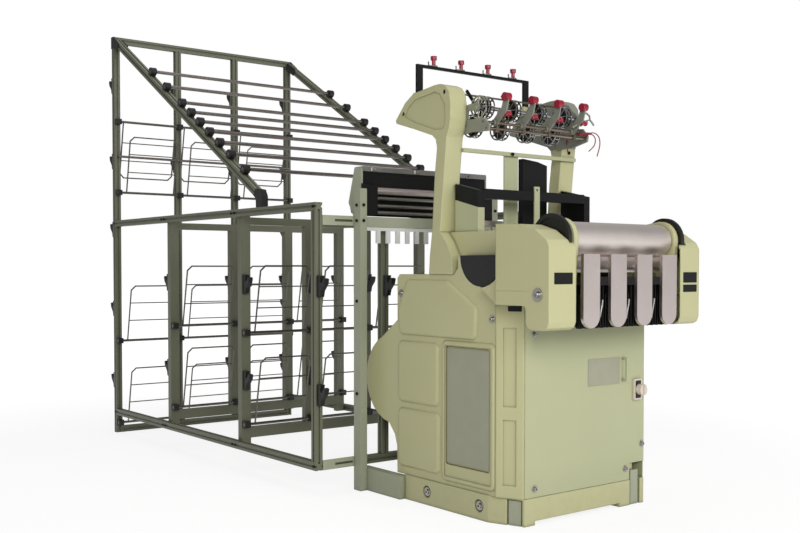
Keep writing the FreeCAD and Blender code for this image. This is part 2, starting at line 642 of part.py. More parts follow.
def main_drive():
    """Main shaft with its grooved wheel, and the motor with its pulley."""
    x0 = BODY_LEFT + PAD_HEIGHT + COVER_WALL + 2
    x1 = x0 + PULLEY_WIDTH
    wheel = vee_pulley(x0, x1, MAIN_SHAFT, PULLEY_RADIUS, 9)
    bar = rod_x(x0, WALL_RIGHT + 6, MAIN_SHAFT, MAIN_SHAFT_RADIUS)
    for angle in range(0, 360, 60):
        a = math.radians(angle)
        spot = (MAIN_SHAFT[0] + 98 * math.cos(a), MAIN_SHAFT[1] + 98 * math.sin(a))
        wheel = wheel.cut(rod_x(x0 - 1, x1 + 1, spot, 34))
    add("main_shaft", wheel.fuse(bar).removeSplitter())
    motor_x0 = WALL_LEFT + WALL_THICK + 30
    bar = rod_x(x0, motor_x0 + 40, MOTOR, 14)
    add("motor_shaft", vee_pulley(x0, x1, MOTOR, MOTOR_PULLEY_RADIUS, 9).fuse(bar).removeSplitter())
    body = rod_x(motor_x0, motor_x0 + 300, MOTOR, 92)
    body = body.cut(rod_x(motor_x0 - 1, motor_x0 + 41, MOTOR, 14 + GAP))
    foot = box(motor_x0 + 40, motor_x0 + 260, MOTOR[0] - 90, MOTOR[0] + 90, 18, MOTOR[1] - 60)
    add("motor", body.fuse(foot).removeSplitter())


# ---------------------------------------------------------------- columns and top assembly
COLUMN_LEFT = (BODY_LEFT, BODY_LEFT + COLUMN_WIDTH)
COLUMN_RIGHT = (BODY_RIGHT - COLUMN_WIDTH, BODY_RIGHT)
HEAD_OUTLINE = [(-742, 1564), (-737, 1578), (-770, 1612), (-800, 1643), (-853, 1674), (-990, 1690),
                (-1024, 1690), (-1056, 1678), (-1078, 1652), (-1086, 1610), (-1085, 1550), (-1077, 1512),
                (-1063, 1480), (-1054, 1400), (-1044, 1300), (-1030, 1180), (-1024, SHOULDER_Z),
                (-974, SHOULDER_Z), (-990, 1329), (-1004, 1440), (-996, 1474), (-975, 1492), (-853, 1531)]
HEAD_POCKET = [(-792, 1586), (-812, 1618), (-862, 1650), (-990, 1664), (-1020, 1652), (-1050, 1606),
               (-1052, 1540), (-1040, 1512), (-990, 1512), (-866, 1552)]
HEAD_BOLTS = ((-1046.0, 1656.0), (-786.0, 1599.0))   # y, z of the sunk bolts in a head


def columns():
    """Two gooseneck castings that lean forward and reach back over the warp."""
    for x0, x1 in (COLUMN_LEFT, COLUMN_RIGHT):
        neck = round_edges(plate_x(HEAD_OUTLINE, x0, x1), 5, X)
        side = -1 if x0 == BODY_LEFT else 1
        outer = x0 if side < 0 else x1
        wall = WALL_LEFT if side < 0 else WALL_RIGHT
        skirt = [(-1024, SHOULDER_Z), (-974, SHOULDER_Z), (-960, 1010), (-955, COVER_TOP_Z + GAP),
                 (-1098, COVER_TOP_Z + GAP), (-1092, 1010), (-1060, 1065)]
        seat = box(side * (TOP_FRAME_HALF + 6), side * (TOP_FRAME_HALF - 38),
                   TOP_FRAME_Y - 14, TOP_FRAME_Y + 14, 1640, FRAME_SEAT_Z)
        column = neck.fuse(plate_x(skirt, outer, wall)).fuse(seat).removeSplitter()
        pocket = round_edges(plate_x(HEAD_POCKET, outer + side, outer - 5 * side), 9, X)
        column = column.cut(pocket)
        deep = min(outer + side, outer - 14 * side)
        for spot in HEAD_BOLTS:
            column = column.cut(rod_x(deep, deep + 15, spot, 9))
        add("columns", column)


def cross_bars():
    """Flat bar across the columns and the plate that props it in the middle."""
    bar_y0 = -1058.6 - 12.0          # its rear rests on the columns' front edges
    add("cross_bars", box(COLUMN_LEFT[1], BODY_RIGHT - 4, bar_y0, bar_y0 + 12, 1424, 1440))
    tab = box(COLUMN_LEFT[1], COLUMN_LEFT[1] + 5, bar_y0 + 12, -1040, 1424, 1440)
    add("cross_bars", tab)
    add("cross_bars", box(-22, 56, bar_y0 + 12, bar_y0 + 18, SHED_BEAM[3], 1440))


def weft_beam():
    """Black cross beam in front of the columns on two end blocks, with a strap."""
    low = BEAM_TOP_Z - BEAM_HEIGHT
    for x0 in (WALL_LEFT + 7, WALL_RIGHT - 29):
        lower = [(BEAM_FRONT_Y, SHOULDER_Z), (BEAM_FRONT_Y, BEAM_JOINT[0]), (BEAM_REAR_Y, BEAM_JOINT[1]),
                 (BEAM_REAR_Y, SHOULDER_Z)]
        upper = [(BEAM_FRONT_Y, BEAM_JOINT[0]), (BEAM_FRONT_Y, BEAM_TOP_Z - 8), (BEAM_REAR_Y, BEAM_TOP_Z + 24),
                 (BEAM_REAR_Y, BEAM_JOINT[1])]
        add("cross_bars", plate_x(lower, x0, x0 + BEAM_BLOCK))
        add("weft_beam", plate_x(upper, x0, x0 + BEAM_BLOCK))
    add("weft_beam", box(WALL_LEFT + 7 + BEAM_BLOCK, WALL_RIGHT - 29, BEAM_FRONT_Y, BEAM_FRONT_Y + BEAM_DEPTH,
                         low, BEAM_TOP_Z))
    strap = box(20, 50, BEAM_FRONT_Y - 5, BEAM_FRONT_Y, 1020, BEAM_TOP_Z + 20)
    add("cross_bars", strap.cut(rod_y(BEAM_FRONT_Y - 6, BEAM_FRONT_Y + 1, 35, BEAM_TOP_Z + 6, 5)))


def heald_guide():
    """Tall black guide box beside the heald frames, with a sloping top."""
    foot = SHED_BEAM[3]
    outline = [(114, foot), (258, foot), (258, 1402), (200, 1416), (114, 1424)]
    add("weft_beam", plate_y(outline, SHED_BEAM[1] - 30, SHED_BEAM[1] - 2))


def top_frame():
    """Black bow on the column heads that carries the four thread tensioners."""
    y0 = TOP_FRAME_Y - 6
    y1 = TOP_FRAME_Y + 6
    for side in (-1, 1):
        x0 = side * TOP_FRAME_HALF
        add("top_frame", box(x0, x0 - side * 30, y0, y1, FRAME_SEAT_Z, TOP_FRAME_Z - 12))
    add("top_frame", box(-TOP_FRAME_HALF, TOP_FRAME_HALF, y0, y1, TOP_FRAME_Z - 12, TOP_FRAME_Z))
    for number, x in enumerate((-228.0, -77.0, 77.0, 228.0), 1):
        base = box(x - 16, x + 16, y0, y1, TOP_FRAME_Z, TOP_FRAME_Z + 5)
        stem = rod_z(TOP_FRAME_Z, TOP_FRAME_Z + 26, x, TOP_FRAME_Y, 3)
        eye = box(x - 30, x - 26, y0 + 4, y1 - 4, TOP_FRAME_Z, TOP_FRAME_Z + 18)
        plate = box(x - 30, x - 14, y0 + 4, y1 - 4, TOP_FRAME_Z, TOP_FRAME_Z + 4)
        add("tensioners", base.fuse(stem).fuse(eye).fuse(plate).removeSplitter())
        cap = rod_z(TOP_FRAME_Z + 5 + GAP, TOP_FRAME_Z + 40, x, TOP_FRAME_Y, 8)
        wide = rod_z(TOP_FRAME_Z + 26, TOP_FRAME_Z + 42, x, TOP_FRAME_Y, 13)
        bore = rod_z(TOP_FRAME_Z + 5, TOP_FRAME_Z + 30, x, TOP_FRAME_Y, 3 + GAP)
        add("tension_knob_%d" % number, cap.fuse(wide).removeSplitter().cut(bore))


# ---------------------------------------------------------------- weft feeder
IDLER_SHAFT = (FEED_SHAFT[0] - (2 * WHEEL_RADIUS + WHEEL_NIP) * math.sin(math.radians(NIP_LEAN)),
               FEED_SHAFT[1] + (2 * WHEEL_RADIUS + WHEEL_NIP) * math.cos(math.radians(NIP_LEAN)))


def spoked_ring(x0, centre, thick):
    """One thin ring with eight flat spokes to the hub."""
    ring = rod_x(x0, x0 + thick, centre, WHEEL_RADIUS).cut(rod_x(x0 - 1, x0 + thick + 1, centre, WHEEL_RADIUS - 5))
    for i in range(8):
        spoke = box(x0, x0 + thick, centre[0] - 2.5, centre[0] + 2.5, centre[1] + 9, centre[1] + WHEEL_RADIUS - 3)
        spoke.rotate(V(0, *centre), X, 45 * i)
        ring = ring.fuse(spoke)
    return ring


def cage_wheel(x0, centre):
    """Two spoked rings on one hub, joined round the rim by twelve square pins."""
    far = x0 + WHEEL_WIDTH - 3
    wheel = rod_x(x0 - 3, x0 + WHEEL_WIDTH + 3, centre, 12)
    wheel = wheel.fuse(spoked_ring(x0, centre, 3)).fuse(spoked_ring(far, centre, 3))
    for i in range(12):
        pin = box(x0 + 3, far, centre[0] - 1.5, centre[0] + 1.5, centre[1] + WHEEL_RADIUS - 4.5,
                  centre[1] + WHEEL_RADIUS - 1.5)
        pin.rotate(V(0, *centre), X, 30 * i)
        wheel = wheel.fuse(pin)
    return wheel


FEED_X0 = COLUMN_LEFT[1] + 8             # inner face of the left bracket
FEED_X1 = COLUMN_RIGHT[0] - 8            # inner face of the right bracket


def feeder_brackets():
    """Plates on the columns' inner sides that carry the feeder's shafts and rods."""
    idler_y, idler_z = IDLER_SHAFT
    left = [(-1036, 1600), (-1080, 1606), (idler_y + 4, idler_z + 17), (idler_y - 12, idler_z + 12),
            (idler_y - 17, idler_z - 5), (idler_y - 6, idler_z - 17), (idler_y + 10, idler_z - 12),
            (-1092, 1582), (-1090, 1548), (ARM_ROD[0] - 8, 1546), (GUIDE_BAR[0] - 16, 1514),
            (GUIDE_BAR[0] - 12, 1493), (-1110, 1497), (-1036, 1490)]
    right = [(-1036, 1650), (-1080, 1665), (-1108, 1656), (-1128, 1632), (idler_y - 6, idler_z + 22),
             (idler_y - 21, idler_z), (idler_y - 8, idler_z - 22), (ARM_ROD[0] + 40, 1552),
             (ARM_ROD[0] - 8, 1548), (GUIDE_BAR[0] - 16, 1514), (GUIDE_BAR[0] - 12, 1492), (-1133, 1474),
             (-1036, 1473)]
    for outline, x0, x1 in ((left, COLUMN_LEFT[1], FEED_X0), (right, FEED_X1, COLUMN_RIGHT[0])):
        plate = plate_x(outline, x0, x1)
        bores = ((FEED_SHAFT, SHAFT_RADIUS), (IDLER_SHAFT, SHAFT_RADIUS), (ARM_ROD, 6.0), (GUIDE_BAR, 5.0),
                 (TENSION_ROD, 4.0))
        for centre, radius in bores:
            plate = plate.cut(rod_x(x0 - 1, x1 + 1, centre, radius + FIT))
        add("feeder_brackets", plate)
    add("feeder_rods", rod_x(COLUMN_LEFT[1], COLUMN_RIGHT[0], TENSION_ROD, 4))
    for x in (-215.0, -20.0):
        lever = plate_x([(TENSION_ROD[0] - 36, TENSION_ROD[1] - 30), (TENSION_ROD[0] - 26, TENSION_ROD[1] - 36),
                         (TENSION_ROD[0] + 18, TENSION_ROD[1] + 16), (TENSION_ROD[0] + 10, TENSION_ROD[1] + 24)],
                        x, x + 8)
        add("top_frame", lever.cut(rod_x(x - 1, x + 9, TENSION_ROD, 4 + FIT)))


def feeder_arm(number, x):
    """A dog-leg arm with its crimson knob and the crimson cone of its yarn tensioner."""
    y, z = ARM_ROD
    dy, dz = ARM_REACH
    outline = [(-12, -9), (dy, dz * 0.43), (dy - 14, dz), (dy + 14, dz + 4), (dy + 26, dz * 0.6), (12, 8), (6, -12)]
    blade = plate_x([(y + a, z + b) for a, b in outline], x + 8, x + 8 + ARM_THICK)
    arm = blade.fuse(rod_x(x, x + 22, ARM_ROD, 12)).removeSplitter()
    arm = arm.cut(rod_x(x - 1, x + 23, ARM_ROD, 6 + FIT))
    add("feeder_arm_%d" % number, arm)
    knob_x = x + 11 - KNOB_LENGTH / 2
    grip = rod_x(knob_x, knob_x + KNOB_LENGTH, (y + dy, z + dz), KNOB_RADIUS)
    add("feeder_arm_%d" % number, grip.cut(arm))
    cone = Part.makeCone(14, 7, 24, V(x + 8 + ARM_THICK, y + dy / 3, z + dz * 0.36), X)
    add("feeder_arm_%d" % number, cone)


def feeder():
    """Driven and following cage wheels, the arm rod, the guide bar and four arms."""
    lower = rod_x(COLUMN_LEFT[1] + 1, COLUMN_RIGHT[0] - 1, FEED_SHAFT, SHAFT_RADIUS)
    upper = rod_x(COLUMN_LEFT[1] + 1, COLUMN_RIGHT[0] - 1, IDLER_SHAFT, SHAFT_RADIUS)
    for x in HEADS:
        lower = lower.fuse(cage_wheel(x - 26, FEED_SHAFT))
        upper = upper.fuse(cage_wheel(x - 26, IDLER_SHAFT))
    upper = upper.fuse(rod_x(FEED_X0 + 1, FEED_X0 + 10, IDLER_SHAFT, 12))
    upper = upper.fuse(spoked_ring(FEED_X0 + 3, IDLER_SHAFT, 5))
    add("feed_wheels", lower.removeSplitter())
    add("idler_wheels", upper.removeSplitter())
    add("feeder_rods", rod_x(COLUMN_LEFT[1], COLUMN_RIGHT[0], ARM_ROD, 6))
    add("feeder_rods", rod_x(COLUMN_LEFT[1], COLUMN_RIGHT[0], GUIDE_BAR, 5))
    for number, x in enumerate(HEADS, 1):
        feeder_arm(number, x)
        clip = box(x - 6, x + 6, GUIDE_BAR[0] - 9, GUIDE_BAR[0] + 9, GUIDE_BAR[1] - 9, GUIDE_BAR[1] + 9)
        add("feeder_rods", clip.cut(rod_x(x - 7, x + 7, GUIDE_BAR, 5 + FIT)))


# ---------------------------------------------------------------- weaving zone
def weaving_zone():
    """Needle box, the beam behind it and the reed holder with one reed for each head."""
    x0 = WALL_LEFT + WALL_THICK
    x1 = WALL_RIGHT - WALL_THICK
    add("needle_box", box(x0, x1, -1380, -1160, 880, 1020))
    add("needle_box", box(x0, x1, *SHED_BEAM))
    bar = box(x0 + 12, x1 - 12, -1112, -1088, 1000, 1030)
    sley = bar.fuse(rod_x(WALL_LEFT + 1, WALL_RIGHT - 1, SLEY_AXIS, SLEY_RADIUS))
    for x in (x0 + 20, 30.0, x1 - 30):
        sley = sley.fuse(box(x, x + 10, -1108, -1092, 900, 1005))
    for x in HEADS:
        frame = box(x - 42, x + 42, -1104, -1096, 1028, 1100)
        frame = frame.cut(box(x - 36, x + 36, -1105, -1095, 1036, 1094))
        sley = sley.fuse(frame)
        for i in range(11):
            dent = x - 30 + 6 * i
            sley = sley.fuse(box(dent - 0.6, dent + 0.6, -1102, -1098, 1035, 1095))
    add("sley", sley.removeSplitter())


def weft_needles():
    """A sliding bar with one weft needle for each head, in open guides on the needle box."""
    y0, y1, z0, z1 = NEEDLE_BAR
    x0 = HEADS[0] + 46
    x1 = HEADS[-1] + 64
    needles = box(x0, x1, *NEEDLE_BAR)
    for x in HEADS:
        arm = box(x + 50, x + 62, y0, -1132, z1, z1 + 8)
        point = box(x - 4, x + 62, -1138, -1132, z1, z1 + 8)
        needles = needles.fuse(arm).fuse(point)
    add("weft_needles", needles.removeSplitter())
    for x in (x0 + 20, x1 - 110):
        guide = box(x, x + 24, y0 - 10, y1 + 10, 1020, z1 - 1)
        guide = guide.cut(box(x - 1, x + 25, y0 - GAP, y1 + GAP, z0 - GAP, z1))
        add("needle_box", guide)


def heald_frames():
    """Four open heald frames that rise and fall in slotted guides on the walls."""
    x0 = WALL_LEFT + WALL_THICK
    x1 = WALL_RIGHT - WALL_THICK
    guides = [box(x0, x0 + 24, HEALD_Y - 6, HEALD_Y + 4 * HEALD_PITCH - 6, 900, 1080),
              box(x1 - 24, x1, HEALD_Y - 6, HEALD_Y + 4 * HEALD_PITCH - 6, 900, 1080)]
    for place in range(4):
        y = HEALD_Y + HEALD_PITCH * place
        number = 1 + place % 2
        lift = HEALD_LIFT if number == 1 else -HEALD_LIFT
        outer = box(x0 + 14, x1 - 14, y, y + HEALD_THICK, 870 + lift, 1140 + lift)
        hole = box(x0 + 30, x1 - 30, y - 1, y + HEALD_THICK + 1, 892 + lift, 1118 + lift)
        add("heald_frames_%d" % number, outer.cut(hole))
        slot = box(x0 + 14 - GAP, x1 - 14 + GAP, y - GAP, y + HEALD_THICK + GAP, 899, 1081)
        guides = [guide.cut(slot) for guide in guides]
    add("needle_box", *guides)


# ---------------------------------------------------------------- take-up
def takeup_side_outline(inset):
    """Outline (y, z) of a take-up cover seen from the side."""
    front = TAKEUP_FRONT_Y + inset
    return [(TAKEUP_REAR_Y - inset, 880 + inset), (TAKEUP_REAR_Y - inset, 1122 - inset), (-1553, 1117 - inset),
            (-1624, 1096 - inset), (front + 14, 1060 - inset), (front, 1036 - inset),
            (front, 774 + inset), (front + 8, 754 + inset), (front + 26, 745 + inset),
            (-1606 - inset, 745 + inset), (-1590 - inset, 752 + inset), (-1581 - inset, 772 + inset),
            (-1581 - inset, 856 + inset), (-1560, 880 + inset)]


def takeup_covers():
    """Hollow moulded covers over the ends of the take-up roller, open towards the heads."""
    wall = 4.0
    for side, slot in ((-1, (-310.0, -270.0)), (1, (298.0, 348.0))):
        outer = side * TAKEUP_HALF
        inner = side * (TAKEUP_HALF - TAKEUP_COVER_WIDTH)
        if side > 0:
            inner = 303.0
        shell = plate_x(takeup_side_outline(0.0), outer, inner)
        hollow = plate_x(takeup_side_outline(wall), outer - side * wall, inner - side)
        shell = shell.cut(hollow)
        shell = shell.cut(box(slot[0], slot[1], -1684, TAKEUP_REAR_Y + 5, 990, 1130))
        add("takeup_covers", shell)


def takeup_arms():
    """Cast arms on the side walls that carry the roller and the apron bar."""
    y, z = ROLLER_AXIS
    outline = [(-1300, 1020), (-1300, 1098)] + arc_points(ROLLER_AXIS, 76, 90, 180, 9)
    outline += [(-1652, 840), (-1602, 840), (-1560, 1020)]
    left_face = WALL_LEFT + WALL_THICK
    right_face = WALL_RIGHT - WALL_THICK
    spots = ((left_face, left_face + 22), (right_face - 22, right_face))
    for x0, x1 in spots:
        arm = plate_x(outline, x0, x1)
        arm = arm.cut(rod_x(x0 - 1, x1 + 1, ROLLER_AXIS, 12.05))
        arm = arm.cut(rod_x(x0 - 1, x1 + 1, PRESS_AXIS, 9.05))
        add("takeup_arms", arm)
    left = -TAKEUP_HALF + 4
    right = TAKEUP_HALF - 4
    for spot in ((-1450.0, 1060.0), (-1632.0, 865.0)):
        add("takeup_arms", rod_x(left, spots[0][0], spot, 9))
        add("takeup_arms", rod_x(spots[1][1], right, spot, 9))


PRESS_DISTANCE = ROLLER_RADIUS + PRESS_RADIUS + GAP
PRESS_AXIS = (ROLLER_AXIS[0] - 20.0, ROLLER_AXIS[1] - math.sqrt(PRESS_DISTANCE ** 2 - 20.0 ** 2))


def takeup():
    """Cloth roller with its end discs, press roller, four aprons and their backing."""
    x0 = WALL_LEFT + WALL_THICK + 22
    x1 = WALL_RIGHT - WALL_THICK - 22
    left_disc = WALL_LEFT - 15
    right_disc = WALL_RIGHT - WALL_THICK + 4
    roller = rod_x(x0 + 2, x1 - 2, ROLLER_AXIS, ROLLER_RADIUS)
    roller = roller.fuse(rod_x(left_disc, right_disc + DISC_THICK, ROLLER_AXIS, 12)).removeSplitter()
    add("takeup_roller", roller)
    for x in (left_disc, right_disc):
        disc = rod_x(x, x + DISC_THICK, ROLLER_AXIS, DISC_RADIUS)
        dish = rod_x(x - 1, x + 4, ROLLER_AXIS, DISC_RADIUS - 16)
        disc = disc.cut(dish).cut(rod_x(x - 1, x + DISC_THICK + 1, ROLLER_AXIS, 12.02))
        add("takeup_discs", disc)
    press = rod_x(x0 + 2, x1 - 2, PRESS_AXIS, PRESS_RADIUS)
    press = press.fuse(rod_x(x0 - 20, x1 + 20, PRESS_AXIS, 9)).removeSplitter()
    add("press_roller", press)
    for x in HEADS:
        radius = APRON_WIDTH / 2
        low = APRON_BOTTOM_Z + radius
        top = box(x - radius, x + radius, TAKEUP_FRONT_Y, TAKEUP_FRONT_Y + 14, low, APRON_TOP_Z)
        tip = rod_y(TAKEUP_FRONT_Y, TAKEUP_FRONT_Y + 14, x, low, radius)
        apron = top.fuse(tip).removeSplitter()
        inner = box(x - radius + 3, x + radius - 3, TAKEUP_FRONT_Y + 3, TAKEUP_FRONT_Y + 15, low, APRON_TOP_Z - 3)
        dish = rod_y(TAKEUP_FRONT_Y + 3, TAKEUP_FRONT_Y + 15, x, low, radius - 3)
        add("tape_aprons", apron.cut(inner.fuse(dish)))
    backing = box(x0, x1, TAKEUP_FRONT_Y + 46, TAKEUP_FRONT_Y + 52, 752, 930)
    count = 38
    for i in range(count):
        x = x0 + 8 + i * (x1 - x0 - 20) / (count - 1)
        top = 900 if i % 3 else 868
        backing = backing.fuse(box(x, x + 4, TAKEUP_FRONT_Y + 20, TAKEUP_FRONT_Y + 46, 746 + 5 * (i % 2), top))
    add("apron_backing", backing)
    add("apron_backing", box(x0, x1, TAKEUP_FRONT_Y + 14, TAKEUP_FRONT_Y + 46, 900, 930))


# ---------------------------------------------------------------- rear stand and let-off
def rear_stand():
    """Two posts behind the loom, the beams between them and the sill plates."""
    post_rear = FRONT_Y - HALF
    post_front = post_rear - POST_DEPTH
    inner = POST_OUTER_X - POST_WIDTH
    for side in (-1, 1):
        add("rear_stand", box(side * POST_OUTER_X, side * inner, post_front, post_rear, 0, POST_HEIGHT))
        add("rear_stand", box(side * inner, side * (inner - 42), BODY_REAR_Y, post_rear, 0, 97))
        for low in (RAIL_Z, MID_RAIL_Z - 60):
            link = box(side * (CREEL_HALF - HALF), side * POST_OUTER_X, post_rear - 3, post_rear, low, low + 42)
            slot = box(side * (POST_OUTER_X + 100), side * (POST_OUTER_X + 8), post_rear - 4, post_rear + 1,
                       low + 16, low + 26)
            add("rear_stand", link.cut(slot))
    add("rear_stand", box(-inner, inner, post_front + 5, post_rear - 5, 1140, 1184))


def letoff():
    """Warp let-off: black box between the posts, its cheeks, guide bars and one driven roller."""
    inner = POST_OUTER_X - POST_WIDTH
    front = LETOFF_FRONT_Y
    section = [(front, POST_HEIGHT), (front, 1382), (front + 54, 1382), (front + 100, 1240), (front + 88, 1205),
               (front + 28, 1190), (front + 28, POST_HEIGHT)]
    cheek = [(front, 1214), (front, 1398), (front + 50, 1402), (front + 96, 1250), (front + 60, 1190),
             (front + 12, 1190)]
    for side in (-1, 1):
        add("rear_stand", plate_x(cheek, side * LETOFF_HALF, side * inner))
    add("letoff_box", plate_x(section, -LETOFF_HALF, LETOFF_HALF))
    lid = [(front - 8, 1382), (front - 8, 1404), (front + 54, 1404), (front + 54, 1382)]
    add("guide_bars", plate_x(lid, -LETOFF_HALF, LETOFF_HALF))
    for side in (-1, 1):
        end = plate_x([(-568, 1190), (front, 1190), (front, 1330), (-568, 1318)], side * inner,
                      side * (inner - LETOFF_END))
        for centre, radius in GUIDE_BARS:
            end = end.cut(rod_x(-inner - 1, inner + 1, centre, radius + FIT))
        end = end.cut(rod_x(-inner - 1, inner + 1, LETOFF_AXIS, SHAFT_RADIUS + FIT))
        add("letoff_box", end)
    for centre, radius in GUIDE_BARS:
        add("guide_bars", rod_x(-inner + 1, inner - 1, centre, radius))
    body = inner - LETOFF_END - 2
    roller = rod_x(-body, body, LETOFF_AXIS, 16).fuse(rod_x(-inner + 2, inner - 2, LETOFF_AXIS, SHAFT_RADIUS))
    add("letoff_roller", roller.removeSplitter())


def warp_comb():
    """Toothed bar under the stand's beam that spaces the warp threads."""
    inner = POST_OUTER_X - POST_WIDTH
    add("warp_comb", box(-inner, inner, -560, -552, 1124, 1140))
    for i in range(12):
        x = -308 + i * 54.0
        add("warp_comb", box(x, x + 22, -560, -552, 1070, 1124))


# ---------------------------------------------------------------- build
creel_rear_frame()
creel_bay_frames()
creel_front_frame()
creel_side_rails()
creel_diagonals()
creel_brackets()
guide_rods()
rockers()
beam_hooks()
plinth()
side_walls()
side_covers()
front_panels()
panel_fittings()
main_drive()
columns()
cross_bars()
weft_beam()
heald_guide()
top_frame()
feeder_brackets()
feeder()
weaving_zone()
weft_needles()
heald_frames()
takeup_covers()
takeup_arms()
takeup()
rear_stand()
letoff()
warp_comb()

os.makedirs("parts", exist_ok=True)
for name, solids in nodes.items():
    shape = solids[0] if len(solids) == 1 else Part.makeCompound(solids)
    shape.exportStep("parts/%s.step" % name)
print(len(nodes), "nodes", sum(len(s) for s in nodes.values()), "solids")
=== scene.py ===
# %% [markdown]
# # A ribbon loom and its creel
# The loom is built from metres of slotted profile, painted castings, folded sheet and thin bright
# rods.  Its shapes come ready made from the imported frame.  This lesson gives every surface its
# finish, adds the small pieces that a plain solid model leaves out, and lights the whole machine.
# The first cell loads the frame.

# %% Load the frame
import bpy
import math
import numpy as np
from mathutils import Matrix, Vector


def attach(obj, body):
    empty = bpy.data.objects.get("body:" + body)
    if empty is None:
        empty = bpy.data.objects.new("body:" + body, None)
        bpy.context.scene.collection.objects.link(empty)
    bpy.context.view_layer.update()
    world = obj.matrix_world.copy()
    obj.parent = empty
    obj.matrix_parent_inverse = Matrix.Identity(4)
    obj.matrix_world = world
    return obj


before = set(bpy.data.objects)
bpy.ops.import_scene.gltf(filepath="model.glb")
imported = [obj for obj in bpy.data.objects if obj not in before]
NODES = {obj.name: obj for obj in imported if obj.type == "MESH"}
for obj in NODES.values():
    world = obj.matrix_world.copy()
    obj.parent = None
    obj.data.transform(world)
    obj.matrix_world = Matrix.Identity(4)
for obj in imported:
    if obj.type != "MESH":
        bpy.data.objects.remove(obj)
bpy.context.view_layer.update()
MM = 0.001

# %% [markdown]
# ## The camera
# The picture was taken from the weaver's left, a little below chest height, with a short telephoto
# lens.  The floor line is straight and the posts stay upright, so the lens looks almost level and
# the frame is shifted up a little instead of tilted.

# %% Camera
YAW = 37.662          # degrees the view turns from straight on towards the weaver's right
PITCH = 1.617         # degrees downwards
camera_data = bpy.data.cameras.new("view_camera")
camera_data.sensor_width = 36.0
camera_data.lens = 46.26
camera_data.shift_x = 0.00715
camera_data.shift_y = 0.0389
camera = bpy.data.objects.new("view_camera", camera_data)
camera.location = (-2.9796, -4.1472, 0.960)
camera.rotation_euler = (math.radians(90.0 - PITCH), 0.0, math.radians(-YAW))
bpy.context.collection.objects.link(camera)
bpy.context.scene.camera = camera
print("camera at", tuple(round(v, 3) for v in camera.location))

# %% [markdown]
# ## The loose red leads
# Two thin stranded leads hang from the right end of the guide bar, where they arch over and drop
# free, and one runs down the right column.  A quadratic B-spline through listed points gives each
# its easy curve.  Between the midpoints of its control polygon every piece is one parabola
# (1-t)^2 a + 2t(1-t) b + t^2 c.


def lead(name, points, diameter):
    """A free red lead as a NURBS tube."""
    thin = 0.01       # a curve's box grows by its point radius, so that stays small
    curve = bpy.data.curves.new(name, "CURVE")
    curve.dimensions = "3D"
    curve.bevel_depth = diameter / 2 / thin
    curve.bevel_resolution = 2
    curve.resolution_u = 12
    curve.use_fill_caps = True
    line = curve.splines.new("NURBS")
    line.points.add(len(points) - 1)
    for spot, point in zip(line.points, points):
        spot.co = (*point, 1.0)
        spot.radius = thin
    line.order_u = 3
    line.use_endpoint_u = True
    thing = bpy.data.objects.new(name, curve)
    bpy.context.collection.objects.link(thing)
    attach(thing, "frame")
    return thing


leads = [
    lead("red_lead_long", [(0.300, -1.213, 1.511), (0.322, -1.214, 1.530), (0.350, -1.216, 1.533),
                           (0.377, -1.217, 1.520), (0.384, -1.218, 1.492), (0.376, -1.218, 1.462),
                           (0.364, -1.218, 1.434)], 0.0045),
    lead("red_lead_short", [(0.300, -1.208, 1.512), (0.325, -1.207, 1.527), (0.352, -1.206, 1.526),
                            (0.370, -1.206, 1.508), (0.362, -1.206, 1.481), (0.344, -1.206, 1.466),
                            (0.326, -1.206, 1.454)], 0.0045),
    lead("red_lead_column", [(0.318, -1.094, 1.462), (0.312, -1.096, 1.478), (0.306, -1.098, 1.496),
                             (0.303, -1.100, 1.512)][::-1], 0.0045),
]
print("leads", [thing.name for thing in leads])

# %% [markdown]
# ## Colours and nodes
# A painter names a colour by how it looks, which is the sRGB value; a renderer adds light in
# linear numbers.  One function turns the first into the second.  Another adds a node, sets its
# values and joins its inputs, so that each finish below is a plain list of nodes.  A recipe could
# hide them in more helpers, but the list shows a learner what to build in the shader editor.


# %% Colour and node helpers
def paint(hex_value):
    """Linear RGBA of an sRGB hex colour: c/12.92 near black, ((c + 0.055)/1.055)^2.4 above."""
    code = hex_value.lstrip("#")
    srgb = np.array([int(code[i:i + 2], 16) for i in (0, 2, 4)]) / 255.0
    linear = np.where(srgb <= 0.04045, srgb / 12.92, ((srgb + 0.055) / 1.055) ** 2.4)
    return (*linear.tolist(), 1.0)


def add_node(tree, kind, settings=None, **inputs):
    """Add a node.  Settings are its own properties; inputs are values, or sockets to join, by the
    input's name with _ for a space, or by its number as i0, i1 and so on."""
    node = tree.nodes.new(kind)
    for key, value in (settings or {}).items():
        setattr(node, key, value)
    for key, value in inputs.items():
        numbered = key[0] == "i" and key[1:].isdigit()
        socket = node.inputs[int(key[1:]) if numbered else key.replace("_", " ")]
        if isinstance(value, bpy.types.NodeSocket):
            tree.links.new(value, socket)
        else:
            socket.default_value = value
    return node


def new_finish(name):
    """An empty material with its output, its shader and the Object coordinates."""
    material = bpy.data.materials.new(name)
    material.use_nodes = True
    tree = material.node_tree
    tree.nodes.clear()
    out = tree.nodes.new("ShaderNodeOutputMaterial")
    shader = tree.nodes.new("ShaderNodeBsdfPrincipled")
    tree.links.new(shader.outputs["BSDF"], out.inputs["Surface"])
    place = tree.nodes.new("ShaderNodeTexCoord").outputs["Object"]
    return material, tree, shader, place


def per_metre(size_mm):
    """Noise scale whose features are about size_mm across, for coordinates in metres."""
    return 1000.0 / size_mm


COLOURS = {"data_type": "RGBA"}         # a Mix node on colours: i0 factor, i6 and i7 the colours
PRODUCT = {"operation": "MULTIPLY"}
print("helpers ready")
